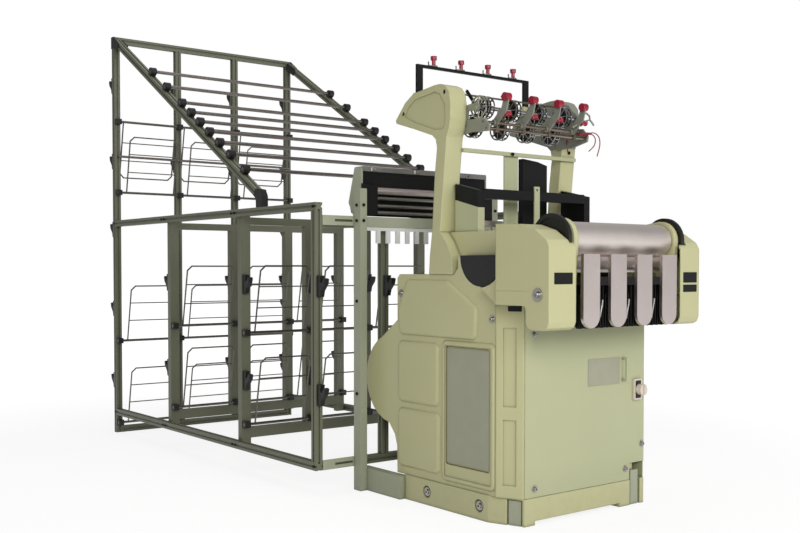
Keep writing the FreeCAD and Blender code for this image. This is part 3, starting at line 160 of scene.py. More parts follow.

# %% [markdown]
# ## Painted finishes
# The castings and covers carry the same cream-green machine enamel, sprayed over filler: smooth, a
# little wavy and glossy enough to show the lamps as soft patches.  The folded sheet is the same
# paint over flatter metal and looks greener.  The creel's profile is extruded aluminium with a dull
# grey-green coat.  Dust settles on upward faces, and grime gathers low down.  Rounded edges are
# lighter, as rubbed paint and as a painted highlight, and corners darker, as painted shade.  Wear
# could be painted by hand on a texture; here all of these follow from the shape itself, so every
# new piece gets them too.


# %% Enamel recipe
DUST, GRIME = paint("#d8d3c4"), paint("#6d6a52")
GRIME_TOP = 0.22                        # metres above the floor where the low grime ends
CORNER_REACH = 0.014                    # metres around a point in which it looks for a corner
# EDGE_LIGHTER paints a highlight on rounded edges, CORNER_DARKER paints shade into corners
EDGE_LIGHTER, CORNER_DARKER = 1.30, 0.34


def enamel(name, hex_light, hex_deep, roughness, wave_mm, edge_mm, dust=0.10, ior=1.50):
    """Sprayed machine enamel: slow colour drift, orange-peel bump, dust on faces that look up,
    rounded edges lighter as rubbed paint and as a painted highlight, and painted shade in corners."""
    material, tree, shader, place = new_finish(name)
    drift = add_node(tree, "ShaderNodeTexNoise", None, Vector=place, Scale=per_metre(320.0),
                     Detail=2.0, Roughness=0.55).outputs["Fac"]
    body = add_node(tree, "ShaderNodeMix", COLOURS, i0=drift, i6=paint(hex_light),
                    i7=paint(hex_deep)).outputs[2]
    # dust: the normal's upward part times cloudy patches
    facing = add_node(tree, "ShaderNodeNewGeometry").outputs["Normal"]
    up = add_node(tree, "ShaderNodeSeparateXYZ", None, Vector=facing).outputs["Z"]
    patch = add_node(tree, "ShaderNodeTexNoise", None, Vector=place, Scale=per_metre(45.0),
                     Detail=6.0, Roughness=0.65).outputs["Fac"]
    settle = add_node(tree, "ShaderNodeMath", {"operation": "MULTIPLY", "use_clamp": True},
                      i0=up, i1=patch).outputs[0]
    dusty = add_node(tree, "ShaderNodeMath", PRODUCT, i0=settle, i1=dust).outputs[0]
    body = add_node(tree, "ShaderNodeMix", COLOURS, i0=dusty, i6=body, i7=DUST).outputs[2]
    # grime near the floor, fading upwards
    height = add_node(tree, "ShaderNodeSeparateXYZ", None, Vector=place).outputs["Z"]
    low = add_node(tree, "ShaderNodeMapRange", None, Value=height, From_Min=0.0,
                   From_Max=GRIME_TOP, To_Min=0.30, To_Max=0.0).outputs[0]
    smeared = add_node(tree, "ShaderNodeMath", PRODUCT, i0=low, i1=patch).outputs[0]
    body = add_node(tree, "ShaderNodeMix", COLOURS, i0=smeared, i6=body, i7=GRIME).outputs[2]
    # edges: where the rounded normal leaves the flat one, the paint is lighter, as rubbed paint and
    # as a painted highlight
    soft = add_node(tree, "ShaderNodeBevel", {"samples": 4}, Radius=edge_mm * MM).outputs[0]
    along = add_node(tree, "ShaderNodeVectorMath", {"operation": "DOT_PRODUCT"},
                     i0=soft, i1=facing).outputs["Value"]
    open_air = add_node(tree, "ShaderNodeAmbientOcclusion", {"samples": 6},
                        Distance=CORNER_REACH).outputs["AO"]
    edge_wear_and_highlight = add_node(tree, "ShaderNodeMapRange", None, Value=along, From_Min=0.80, From_Max=0.995,
                    To_Min=0.55, To_Max=0.0).outputs[0]
    wear_and_sheen = add_node(tree, "ShaderNodeMath", PRODUCT, i0=edge_wear_and_highlight, i1=open_air).outputs[0]
    light = (*(min(1.0, EDGE_LIGHTER * c) for c in paint(hex_light)[:3]), 1.0)
    body = add_node(tree, "ShaderNodeMix", COLOURS, i0=wear_and_sheen, i6=body, i7=light).outputs[2]
    # corners: little open air around the point darkens the paint there, as painted shade
    corner_shade_mask = add_node(tree, "ShaderNodeMapRange", None, Value=open_air, From_Min=0.45,
                      From_Max=0.98, To_Min=0.62, To_Max=0.0).outputs[0]
    corner_shade_colour = (*(CORNER_DARKER * c for c in paint(hex_light)[:3]), 1.0)
    body = add_node(tree, "ShaderNodeMix", COLOURS, i0=corner_shade_mask, i6=body, i7=corner_shade_colour).outputs[2]
    tree.links.new(body, shader.inputs["Base Color"])
    # sheen and surface: hands polish it in patches, and the spray leaves its orange peel
    polish = add_node(tree, "ShaderNodeTexNoise", None, Vector=place, Scale=per_metre(90.0),
                      Detail=5.0, Roughness=0.55).outputs["Fac"]
    rubbed = add_node(tree, "ShaderNodeMapRange", None, Value=polish, To_Min=roughness - 0.06,
                      To_Max=roughness + 0.08).outputs[0]
    tree.links.new(rubbed, shader.inputs["Roughness"])
    shader.inputs["IOR"].default_value = ior
    waves = add_node(tree, "ShaderNodeTexNoise", None, Vector=place, Scale=per_metre(wave_mm),
                     Detail=3.0, Roughness=0.55).outputs["Fac"]
    peel = add_node(tree, "ShaderNodeBump", None, Height=waves, Distance=0.25 * MM, Strength=0.35,
                    Normal=soft).outputs[0]
    tree.links.new(peel, shader.inputs["Normal"])
    return material


# sprayed enamel on castings: filler leaves slow waves, edges are poured round
cast_enamel = enamel("cast_enamel", "#cac89a", "#c2c092", 0.34, 22.0, 8.0)
# the same paint on folded sheet: flatter, greener
sheet_enamel = enamel("sheet_enamel", "#bfc29b", "#b7ba93", 0.38, 40.0, 1.2)
# dull coat on extruded profile
profile_coat = enamel("profile_coat", "#777965", "#6a6c58", 0.44, 60.0, 0.8)
# the stand's painted steel, between the two
stand_enamel = enamel("stand_enamel", "#b0b49c", "#a5a991", 0.42, 45.0, 1.2)
# satin black on sawn and milled steel
black_enamel = enamel("black_enamel", "#101111", "#0a0b0b", 0.46, 30.0, 1.0, 0.02, 1.32)
# thin grey-green coat on the feeder's steel plates and arms
grey_coat = enamel("grey_coat", "#96988a", "#828477", 0.32, 30.0, 1.0, 0.04)
print("enamels:", [coat.name for coat in (cast_enamel, sheet_enamel, profile_coat, stand_enamel,
                                          black_enamel, grey_coat)])

# %% [markdown]
# ## Moulded plastics
# Hooks, clamps and discs are glass-filled nylon: black, a fine spark-eroded grain, weak sheen.  The
# crimson knobs are gloss ABS straight from the mould.  The grain could be left out, as it is too
# fine to see, but then the plastic looks wet; it is drawn coarser than life instead, at 3 mm where
# the true one has 0.2 mm, so that it shows.


# %% Moulded recipe
def moulded(name, hex_light, hex_deep, roughness, grain_mm, edge_mm):
    """Moulded plastic: faint flow marks in the colour, an eroded grain in the normal."""
    material, tree, shader, place = new_finish(name)
    flow = add_node(tree, "ShaderNodeTexNoise", None, Vector=place, Scale=per_metre(60.0),
                    Detail=3.0, Roughness=0.55).outputs["Fac"]
    body = add_node(tree, "ShaderNodeMix", COLOURS, i0=flow, i6=paint(hex_light),
                    i7=paint(hex_deep)).outputs[2]
    tree.links.new(body, shader.inputs["Base Color"])
    touch = add_node(tree, "ShaderNodeTexNoise", None, Vector=place, Scale=per_metre(25.0),
                     Detail=5.0, Roughness=0.55).outputs["Fac"]
    wear_and_sheen = add_node(tree, "ShaderNodeMapRange", None, Value=touch, To_Min=roughness - 0.05,
                    To_Max=roughness + 0.07).outputs[0]
    tree.links.new(wear_and_sheen, shader.inputs["Roughness"])
    shader.inputs["IOR"].default_value = 1.49
    soft = add_node(tree, "ShaderNodeBevel", {"samples": 4}, Radius=edge_mm * MM).outputs[0]
    pits = add_node(tree, "ShaderNodeTexNoise", None, Vector=place, Scale=per_metre(grain_mm),
                    Detail=2.0, Roughness=0.55).outputs["Fac"]
    grain = add_node(tree, "ShaderNodeBump", None, Height=pits, Distance=0.12 * MM, Strength=0.30,
                     Normal=soft).outputs[0]
    tree.links.new(grain, shader.inputs["Normal"])
    return material


# glass-filled nylon: nearly black, the grain breaks up its sheen
black_nylon = moulded("black_nylon", "#131414", "#0c0d0d", 0.48, 3.0, 1.5)
# gloss ABS of the knobs: deep red with small clear highlights
crimson_abs = moulded("crimson_abs", "#b01c3a", "#8f142c", 0.26, 8.0, 2.0)
# natural nylon of the switch, yellowed by light
white_nylon = moulded("white_nylon", "#ece0d4", "#dccfc2", 0.38, 5.0, 1.0)
# whiter nylon of the comb's plates
comb_nylon = moulded("comb_nylon", "#f0f2ec", "#e2e4dd", 0.40, 5.0, 1.0)
# soft PVC sleeve of the leads: dull, darker in its folds
red_sleeve = moulded("red_sleeve", "#9c1a2a", "#7c1220", 0.40, 2.0, 0.3)
# lacquered foil of the bare plates: flat and smooth
label_foil = moulded("label_foil", "#acac97", "#a0a08a", 0.36, 60.0, 0.3)
print("mouldings:", [resin.name for resin in (black_nylon, crimson_abs, white_nylon, comb_nylon,
                                              red_sleeve, label_foil)])

# %% [markdown]
# ## Bright metal
# Drawn rods keep fine lines along their length and a warm oil film.  Turned shafts and plates are
# ground, so they blur reflections a little.  The feed wheels are chromed and almost clear.  The
# cloth roller and the tongues below it are satin aluminium; the faint pink in their colour is a
# painted reflection of pink surroundings.  The lines could come from a Wave texture, but stretched
# noise never repeats, and neither do real tool marks.


# %% Metal recipe
LINE_STRETCH = 40.0                     # how much longer than wide a drawn or ground mark is
EDGE_MM = 0.8                           # the broken edge of turned and cut metal


def bare_metal(name, hex_light, hex_deep, roughness, line_mm, line_axis, depth_mm):
    """Metal with lines: noise stretched along line_axis gives drawn or ground marks."""
    material, tree, shader, place = new_finish(name)
    stretch = [1.0, 1.0, 1.0]
    stretch[line_axis] = 1.0 / LINE_STRETCH
    lined = add_node(tree, "ShaderNodeMapping", None, Vector=place, Scale=stretch).outputs[0]
    lines = add_node(tree, "ShaderNodeTexNoise", None, Vector=lined, Scale=per_metre(line_mm),
                     Detail=3.0, Roughness=0.6).outputs["Fac"]
    film = add_node(tree, "ShaderNodeTexNoise", None, Vector=place, Scale=per_metre(70.0),
                    Detail=4.0, Roughness=0.55).outputs["Fac"]
    body = add_node(tree, "ShaderNodeMix", COLOURS, i0=film, i6=paint(hex_light),
                    i7=paint(hex_deep)).outputs[2]
    tree.links.new(body, shader.inputs["Base Color"])
    shader.inputs["Metallic"].default_value = 1.0
    blur = add_node(tree, "ShaderNodeMath", {"operation": "MULTIPLY_ADD"}, i0=lines, i1=0.16,
                    i2=roughness - 0.08).outputs[0]
    tree.links.new(blur, shader.inputs["Roughness"])
    soft = add_node(tree, "ShaderNodeBevel", {"samples": 2}, Radius=EDGE_MM * MM).outputs[0]
    marks = add_node(tree, "ShaderNodeBump", None, Height=lines, Distance=depth_mm * MM,
                     Strength=0.4, Normal=soft).outputs[0]
    tree.links.new(marks, shader.inputs["Normal"])
    return material


AXIS_X, AXIS_Y, AXIS_Z = 0, 1, 2
# cold-drawn rod under an oil film: long warm streaks
drawn_rod = bare_metal("drawn_rod", "#8d8782", "#6c6661", 0.32, 2.0, AXIS_X, 0.05)
# ground steel: even and a little blurred
ground_steel = bare_metal("ground_steel", "#b4b2ae", "#98958f", 0.30, 2.5, AXIS_X, 0.05)
# hard chrome on the wheels: almost clear reflections
bright_chrome = bare_metal("bright_chrome", "#b9b9bb", "#98989b", 0.20, 6.0, AXIS_Y, 0.02)
# sheet steel for the wheel webs, much darker than its neighbours: painted shade behind the spokes
shade_web_steel = bare_metal("shade_web_steel", "#45423f", "#2f2d2b", 0.42, 5.0, AXIS_Y, 0.05)
# bright bar with a brown film of oil
warm_bar = bare_metal("warm_bar", "#a3927f", "#85766a", 0.30, 2.0, AXIS_X, 0.04)
# rolled aluminium: pale and soft, with a faint pink that is a painted reflection
satin_aluminium = bare_metal("satin_aluminium", "#d6cbc7", "#c8bdb9", 0.42, 3.0, AXIS_Z, 0.06)
# the roller's fine matt grip, drawn at 1.5 mm to show at all; its faint pink is a painted
# reflection
roller_sleeve = bare_metal("roller_sleeve", "#e6ddd8", "#dad1cb", 0.50, 1.5, AXIS_X, 0.10)
# plain spring wire, grey and lightly drawn
wire_steel = bare_metal("wire_steel", "#74716b", "#5a5752", 0.32, 2.0, AXIS_Z, 0.04)
print("metals:", [metal.name for metal in (drawn_rod, ground_steel, bright_chrome, shade_web_steel,
                                           warm_bar, satin_aluminium, roller_sleeve, wire_steel)])

# %% [markdown]
# ## Which piece has which finish
# Most pieces are one material all over, so a table of finishes and nodes is enough for them.

# %% Hand out the finishes
FINISH = {
    cast_enamel: ("columns", "side_cover_left", "side_cover_right", "side_walls", "takeup_arms",
                  "takeup_covers", "plinth"),
    sheet_enamel: ("front_panel", "cross_bars"),
    stand_enamel: ("rear_stand",),
    profile_coat: ("creel_rear_frame", "creel_inner_frames", "creel_rails"),
    black_enamel: ("weft_beam", "needle_box", "letoff_box", "top_frame", "motor", "apron_backing"),
    black_nylon: ("creel_fittings", "rod_clamps", "takeup_discs", "panel_fittings"),
    crimson_abs: ("tension_knob_1", "tension_knob_2", "tension_knob_3", "tension_knob_4"),
    white_nylon: ("switch_knob",),
    comb_nylon: ("warp_comb",),
    drawn_rod: ("guide_rods",),
    ground_steel: ("guide_bars", "main_shaft", "motor_shaft", "sley", "weft_needles", "tensioners"),
    grey_coat: ("feeder_brackets", "feeder_arm_1", "feeder_arm_2", "feeder_arm_3", "feeder_arm_4"),
    warm_bar: ("feeder_rods",),
    label_foil: ("bare_plates",),
    bright_chrome: ("feed_wheels", "idler_wheels"),
    satin_aluminium: ("tape_aprons", "heald_frames_1", "heald_frames_2", "letoff_roller"),
    roller_sleeve: ("takeup_roller", "press_roller"),
    wire_steel: ("rear_rocker_1", "rear_rocker_2", "rear_rocker_3", "rear_hanger",
                 "middle_rocker_1", "middle_rocker_2", "front_rocker_1", "front_rocker_2"),
}
for finish, names in FINISH.items():
    for name in names:
        mesh = NODES[name].data
        mesh.materials.clear()
        mesh.materials.append(finish)
finished = {name for names in FINISH.values() for name in names}
print("without a finish:", sorted(set(NODES) - finished))

# %% [markdown]
# ## Nodes with two finishes
# A few nodes hold pieces of two materials, such as a feeder arm with its knob.  Each could be cut
# into two objects, but the solid model's nodes stay whole, so the faces are sorted by where their
# centres lie: in a box, or on a cylinder.

# %% Sort faces by their place
HEADS = [18 + 146 * (number - 2.5) for number in (1, 2, 3, 4)]     # x of the four heads, mm
KNOB_AXIS, KNOB_RADIUS, KNOB_LONG = (-1.246, 1.626), 0.016, 0.028   # (y, z) and sizes in metres
FAR = 9                                 # metres, past the machine on every side


def within(low=(-FAR, -FAR, -FAR), high=(FAR, FAR, FAR)):
    """A test for face centres in a box, in metres."""
    return lambda centre: np.all((centre >= low) & (centre <= high), axis=1)


def repaint(node, finish, chosen):
    """Give finish to the faces whose centres pass the test."""
    mesh = NODES[node].data
    centres = np.empty(len(mesh.polygons) * 3)
    mesh.polygons.foreach_get("center", centres)
    inside = chosen(centres.reshape(-1, 3))
    index = np.empty(len(mesh.polygons), dtype=np.int32)
    mesh.polygons.foreach_get("material_index", index)
    mesh.materials.append(finish)
    index[inside] = len(mesh.materials) - 1
    mesh.polygons.foreach_set("material_index", index)
    return int(inside.sum())


def grip(left):
    """A test for the faces of a knob, in metres: off, the distance from its axis, is the knob's
    radius on the rim and less on its two ends, which lie at left and at left + KNOB_LONG."""
    def chosen(centre):
        off = np.hypot(centre[:, 1] - KNOB_AXIS[0], centre[:, 2] - KNOB_AXIS[1])
        rim = abs(off - KNOB_RADIUS) < 0.0015
        ends = abs(centre[:, :1] - [left, left + KNOB_LONG]).min(axis=1) < 0.0005
        return rim | (ends & (off < KNOB_RADIUS + 0.0005))
    return chosen


for number, head_mm in enumerate(HEADS, 1):
    arm = "feeder_arm_%d" % number
    head = head_mm * MM
    knob = repaint(arm, crimson_abs, grip(head - 0.003))
    cone = repaint(arm, crimson_abs,
                   within((head + 0.0141, -FAR, 1.540), (head + 0.040, FAR, 1.60)))
    print(arm, "knob faces", knob, "cone faces", cone)
for node, finish, box in (
        # painted shade: the right column's head, whose inner side lies in shadow, gets the darker
        # grey coat
        ("columns", grey_coat, within(low=(0.30, -FAR, 1.475))),                    # right head
        ("cross_bars", black_enamel, within((0.320, -FAR, 1.10), (0.43, -1.04, 1.24))),
        ("panel_fittings", sheet_enamel, within((0.25, -1.48, 0.50), (0.28, -1.44, 0.61))),
        ("panel_fittings", white_nylon, within((0.32, -1.48, 0.42), (0.38, -1.44, 0.52))),
        ("bare_plates", stand_enamel, within(high=(FAR, FAR, 0.16)))):              # foot inserts
    print(node, finish.name, "on", repaint(node, finish, box), "faces")
for thing in leads:
    thing.data.materials.append(red_sleeve)

# %% [markdown]
# ## Small pieces that the solid model leaves out
# Screws, washers, clips, bare plates and blades could each be modelled by hand with bevels.  They
# are all stacks of rings here, because one function then makes every one.  Ring j is a closed loop
# of k points; joining each ring to the next gives the sides, and the first and last are capped.  A
# ring that rises turns its face outwards, one that steps inwards at one height faces up, so a
# socket screw is a single profile: up the rim, across the land, down the socket, across its floor.


# %% Rings
def stack(rings, closed=False):
    """A form, which is (points, quads, caps), from rings, an array (n, k, 3).  Quad (j, i) joins
    the points i and i + 1 of ring j to those of ring j + 1.  Both ends get a cap, or, for a closed
    frame, the last ring is joined back to the first."""
    n, k, _ = rings.shape
    j, i = np.meshgrid(np.arange(n if closed else n - 1), np.arange(k), indexing="ij")
    here, there, after = j * k, (j + 1) % n * k, (i + 1) % k
    quads = np.stack([here + i, here + after, there + after, there + i], axis=-1).reshape(-1, 4)
    ends = np.array([np.arange(k)[::-1], np.arange(k) + (n - 1) * k])
    return rings.reshape(-1, 3), quads, ends[:0] if closed else ends


def turned(profile, k=12, hexed=()):
    """A stack with radius r at height z, in mm: (r cos a, r sin a, z).  In rings named in hexed,
    r is times cos(30) / cos(a to the middle of its side), which makes a hexagon."""
    angle = 2 * np.pi * np.arange(k) / k
    corner = np.cos(np.pi / 6) / np.cos((angle + np.pi / 6) % (np.pi / 3) - np.pi / 6)
    rings = []
    for index, (r, z) in enumerate(profile):
        radius = r * (corner if index in hexed else np.ones(k))
        rings.append(np.column_stack([radius * np.cos(angle), radius * np.sin(angle),
                                      np.full(k, z)]))
    return stack(np.array(rings) * MM)


print("ring helpers ready")

# %% [markdown]
# ## Placing forms and adding pieces
# A form is turned and copied by adding to whole arrays: its points get the spot, and its faces get
# the number of points that came before.  Instances would be lighter, but one mesh per piece is
# simpler to carry to other programs, and each form here has few faces.


# %% Placing and adding
def placed(form, spots, facing, spin=0.0):
    """Copies of a form, spun about its own Z by spin degrees and with its +Z then turned to
    facing, one at each spot in mm."""
    points, quads, caps = form
    own = Matrix.Rotation(math.radians(spin), 3, "Z").to_quaternion()
    turn = Vector(facing).to_track_quat("Z", "Y") @ own
    turned_points = points @ np.array(turn.to_matrix()).T
    every = turned_points + np.array(spots, dtype=float)[:, None] * MM
    shift = len(points) * np.arange(len(spots))[:, None, None]
    return (every.reshape(-1, 3), (quads + shift).reshape(-1, 4),
            (caps + shift).reshape(-1, caps.shape[1]))


def piece(name, forms, finish, body="frame", smooth=False):
    """One object from several placed forms, with its finish and the body it rides on."""
    points, faces, count = [], [], 0
    for form_points, quads, caps in forms:
        points.append(form_points)
        faces += (quads + count).tolist() + (caps + count).tolist()
        count += len(form_points)
    mesh = bpy.data.meshes.new(name)
    mesh.from_pydata(np.vstack(points).tolist(), [], faces)
    mesh.validate()
    mesh.polygons.foreach_set("use_smooth", np.full(len(mesh.polygons), smooth))
    mesh.materials.append(finish)
    thing = bpy.data.objects.new(name, mesh)
    bpy.context.collection.objects.link(thing)
    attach(thing, body)
    print(name, len(mesh.polygons), "faces")
    return thing


LEFT, RIGHT, FORWARD = (-1, 0, 0), (1, 0, 0), (0, -1, 0)
print("placing ready: left", LEFT, "right", RIGHT, "forward", FORWARD)

# %% [markdown]
# ## Screws and washers
# The panel and the covers are held by socket screws on wide washers, the posts and column heads by
# small black ones.  A bump could fake them, but a real rim and socket also show from the side, and
# each takes only a few dozen faces.  Sizes follow the usual series: an M8 head is 13 mm across and
# 8 mm high.


# %% Screws
CHAMFER = 0.6                           # mm, on the rim of a screw head


def socket_screw(head, high):
    """A cylinder head with a chamfer and a hexagon socket, head mm across.  The socket is half as
    wide as the head and goes a little over halfway down, and the foot sinks 0.5 mm in."""
    r = head / 2
    return turned([(r, -0.5), (r, high - CHAMFER), (r - CHAMFER, high), (r * 0.52, high),
                   (r * 0.50, high * 0.45)], hexed=(3, 4))


def washer(across, thick):
    """A flat washer with a softened rim, closed in the middle by the screw that stands on it."""
    r = across / 2
    return turned([(r, 0.0), (r, thick - 0.4), (r - 0.4, thick)], k=20)


panel_spots = [(-232, -1445, 137), (285, -1445, 152), (386, -1445, 244), (-232, -1445, 717)]
side_spots = [(-335, -1322, 770), (-335, -768, 858)]
cover_spot = [(-419, -1639, 869)]
piece("panel_screws", [
    placed(washer(27, 2.0), panel_spots, FORWARD),
    placed(socket_screw(16, 7.0), [(x, y - 2, z) for x, y, z in panel_spots], FORWARD),
    placed(washer(32, 2.0), side_spots, LEFT),
    placed(socket_screw(18, 8.0), [(x - 2, y, z) for x, y, z in side_spots], LEFT),
    placed(washer(48, 2.5), cover_spot, LEFT),
    placed(socket_screw(24, 9.0), [(x - 2.5, y, z) for x, y, z in cover_spot], LEFT),
], ground_steel)
head_spots = [(-1046, 1656), (-786, 1599)]
stand_heights = (1233, 1166)
post_spots = [(-402, -545, z) for z in (*stand_heights, 820, 420)]
piece("black_screws", [
    placed(socket_screw(15, 9.0), [(-325, y, z) for y, z in head_spots], LEFT),
    placed(socket_screw(15, 9.0), [(385, y, z) for y, z in head_spots], RIGHT),
    placed(socket_screw(13, 5.0), post_spots, LEFT),
    placed(socket_screw(13, 5.0), [(-385, -570, z) for z in stand_heights], FORWARD),
    placed(socket_screw(13, 5.0), [(385, -570, z) for z in stand_heights], FORWARD),
    placed(socket_screw(14, 8.0), [(10, -1070.6, 1432)], FORWARD),
    placed(socket_screw(14, 6.0), [(360, -1060, z) for z in (1432, 1462)], FORWARD),
], black_enamel)
foot_spots = [(-333, y, 54) for y in (-941, -1254)]
piece("foot_screws", [placed(socket_screw(22, 9.0), foot_spots, LEFT),
                      placed(washer(36, 2.5), foot_spots, LEFT)], ground_steel)
joint_rows = (1614, -503, 975, 945, 207, 177)
joint_spots = [(-599.5, y, z) for y in joint_rows for z in (120.5, 1222.5)]
mirrored_spots = [(-x, y, z) for x, y, z in joint_spots]
piece("joint_screws", [placed(socket_screw(12, 4.0), joint_spots, LEFT),
                       placed(socket_screw(12, 4.0), mirrored_spots, RIGHT)],
      black_enamel)

# %% [markdown]
# ## Bare plates, clips and blades
# The name plates on the take-up covers are blank here.  Spring clips hold the rail on the let-off,
# and a steel blade stands behind each gap between the tongues.  Flat things are rounded plates, and
# bent rods are swept along a few points, which keeps each to one line.


# %% Rounded plates and swept rods
def rounded_plate(width, height, thick, radius, bevel=0.4, k=5):
    """A plate in the plane z = 0..thick, in mm, with rounded corners and a bevelled rim.  Each
    corner is an arc, (cx, cy) + (radius - inset) (cos a, sin a), with its centre radius inside."""
    quarter = np.linspace(0, np.pi / 2, k)
    rings = []
    for inset, z in ((0.0, 0.0), (0.0, thick - bevel), (bevel, thick)):
        loop = []
        for turn in range(4):
            angle = quarter + turn * np.pi / 2
            cx = (width / 2 - radius) * (1 if turn in (0, 3) else -1)
            cy = (height / 2 - radius) * (1 if turn in (0, 1) else -1)
            loop.append(np.stack([cx + (radius - inset) * np.cos(angle),
                                  cy + (radius - inset) * np.sin(angle), np.full(k, z)], axis=-1))
        rings.append(np.vstack(loop))
    return stack(np.array(rings) * MM)


def swept(path, radius, k=10):
    """A round bar along a path in mm.  Each ring is p + radius (cos a side + sin a other), where
    side and other are square to the mean of the two runs that meet in the path point p."""
    path = np.array(path, dtype=float)
    runs = np.diff(path, axis=0)
    runs /= np.linalg.norm(runs, axis=1)[:, None]
    along = np.vstack([runs[:1], runs[:-1] + runs[1:], runs[-1:]])
    along /= np.linalg.norm(along, axis=1)[:, None]
    side = np.cross(along, [0.13, 0.97, 0.21])
    side /= np.linalg.norm(side, axis=1)[:, None]
    other = np.cross(along, side)
    angle = 2 * np.pi * np.arange(k) / k
    rings = path[:, None] + radius * (np.cos(angle)[None, :, None] * side[:, None]
                                      + np.sin(angle)[None, :, None] * other[:, None])
    return stack(rings * MM)


bare_plate = rounded_plate(92, 40, 1.2, 2)
print("a rounded plate has", len(bare_plate[0]), "points")

# %% Plates and blades
piece("cover_plates", [placed(bare_plate, [(-347, -1693, 926)], FORWARD),
                       placed(rounded_plate(84, 40, 1.2, 2), [(362, -1693, 926)], FORWARD),
                       placed(rounded_plate(84, 28, 1.2, 2), [(362, -1693, 884)], FORWARD)],
      black_enamel)
piece("switch_face", [placed(rounded_plate(34, 72, 0.2, 2, 0.1), [(351, -1455, 470)], FORWARD)],
      black_nylon)
# the slot under the take-up arm's joint is a thin black plate: painted shade for its dark inside
slot_facing = (-0.878, -0.479, 0.0)
piece("corner_slot_shade", [placed(rounded_plate(54, 24, 0.4, 2, 0.1), [(-303, -1410, 813)],
                             slot_facing)], black_enamel)
piece("lead_bundle", [swept([(258, -1212, 1517), (280, -1213, 1523), (305, -1214, 1526),
                             (330, -1214, 1527)], 5.0)], red_sleeve)
clip_spots = [(-300, -536, 1393), (-60, -536, 1393), (244, -536, 1393)]
piece("rail_clips", [
    placed(rounded_plate(34, 18, 5.0, 3, 1.0), clip_spots, FORWARD),
    placed(socket_screw(10, 5.0), [(x, y - 5, z) for x, y, z in clip_spots], FORWARD),
], ground_steel)
piece("blades", [swept([(x - 4, -1668, 775), (x - 2, -1671, 800), (x + 3, -1674, 830),
                        (x + 4, -1675, 848)], 4.0) for x in (-128, 18, 164, 262)],
      ground_steel)
piece("yarn_hook", [
    swept([(232, -1200, 1546), (262, -1225, 1568), (286, -1246, 1578), (280, -1250, 1592),
           (262, -1250, 1602), (247, -1250, 1600)], 4.0),
    swept([(286, -1246, 1578), (296, -1250, 1566), (304, -1252, 1555)], 4.0),
], grey_coat)

# %% [markdown]
# ## Pillows of the side covers
# The covers' raised panels are cast as soft pillows, whose borders swell over about 20 mm.  A Bevel
# modifier with its own profile could round them too; with rings the swelling is a plain list of
# numbers.  Every rounded corner keeps one arc centre, ROUND mm from both its edges.  A ring with
# outset d is then the same arcs with radius ROUND + d, and SWELL gives its height over d.

# %% Pillows
ROUND = 22.0                            # mm, the arcs at the corners of the pads
FACE = {-1: -335.0, 1: 395.0}           # mm, x of the left and the right cover's flat face
ARC_POINTS = 7
SWELL = [(8, -0.4), (6.5, 0.4), (4.5, 1.8), (2.2, 4.2), (0, 6.4), (-3, 8.0), (-7, 9.1), (-11, 9.5),
         (-12.5, 9.5)]
INNER_WALL = [(-13.5, 3.5)]             # back down on the inside of a frame


def rounded_loop(corners, outset):
    """Loop (y, z) of counter-clockwise corners.  n and m are the outward normals of the edges at a
    corner c, its arc centre is c - ROUND (n + m) / (1 + n.m), and the arc turns from n to m."""
    c = np.array(corners, dtype=float)
    edge = np.roll(c, -1, axis=0) - c
    m = np.column_stack([edge[:, 1], -edge[:, 0]]) / np.linalg.norm(edge, axis=1)[:, None]
    n = np.roll(m, 1, axis=0)
    centre = c - ROUND * (n + m) / (1 + (n * m).sum(axis=1))[:, None]
    start = np.arctan2(n[:, 1], n[:, 0])
    turn = (np.arctan2(m[:, 1], m[:, 0]) - start) % (2 * np.pi)
    angle = start[:, None] + turn[:, None] * np.linspace(0, 1, ARC_POINTS)
    arcs = centre[:, None] + (ROUND + outset) * np.stack([np.cos(angle), np.sin(angle)], axis=-1)
    return arcs.reshape(-1, 2)


def pillow(corners, side, frame_only=False):
    """A pillow on the left cover (side -1) or the right one (side 1), whose loops run the other
    way round because it faces the other way; as a frame it stays open inside."""
    rings = []
    for outset, high in SWELL + (INNER_WALL if frame_only else []):
        loop = rounded_loop(corners, outset)[::side]
        rings.append(np.column_stack([np.full(len(loop), FACE[side] + side * high), loop]))
    return stack(np.array(rings) * MM, closed=frame_only)


upper_pad = [(-813, 909), (-1068, 907), (-1236, 806), (-1230, 692), (-766, 692), (-756, 793)]
middle_pad = [(-1009, 412), (-758, 412), (-758, 655), (-1009, 655)]
lower_pad = [(-1016, 142), (-758, 142), (-758, 375), (-1016, 375)]
plate_pad = [(-1338, 125), (-1040, 125), (-1040, 672), (-1338, 672)]
for name, side in (("left_pillows", -1), ("right_pillows", 1)):
    pads = [pillow(pad, side) for pad in (upper_pad, middle_pad, lower_pad)]
    piece(name, [*pads, pillow(plate_pad, side, frame_only=True)], cast_enamel,
          smooth=True)

# %% [markdown]
# ## Wheel webs and yarn cones
# Behind the thin spokes of every feed wheel stands a dished web of dark steel that turns with it;
# its dark fills the gaps between the spokes as painted shade.
# Each arm carries a crimson cone for the yarn, with a flange and a waist, and swings it along.
# Both are round, so each is one profile turned about its axis, as on a lathe.

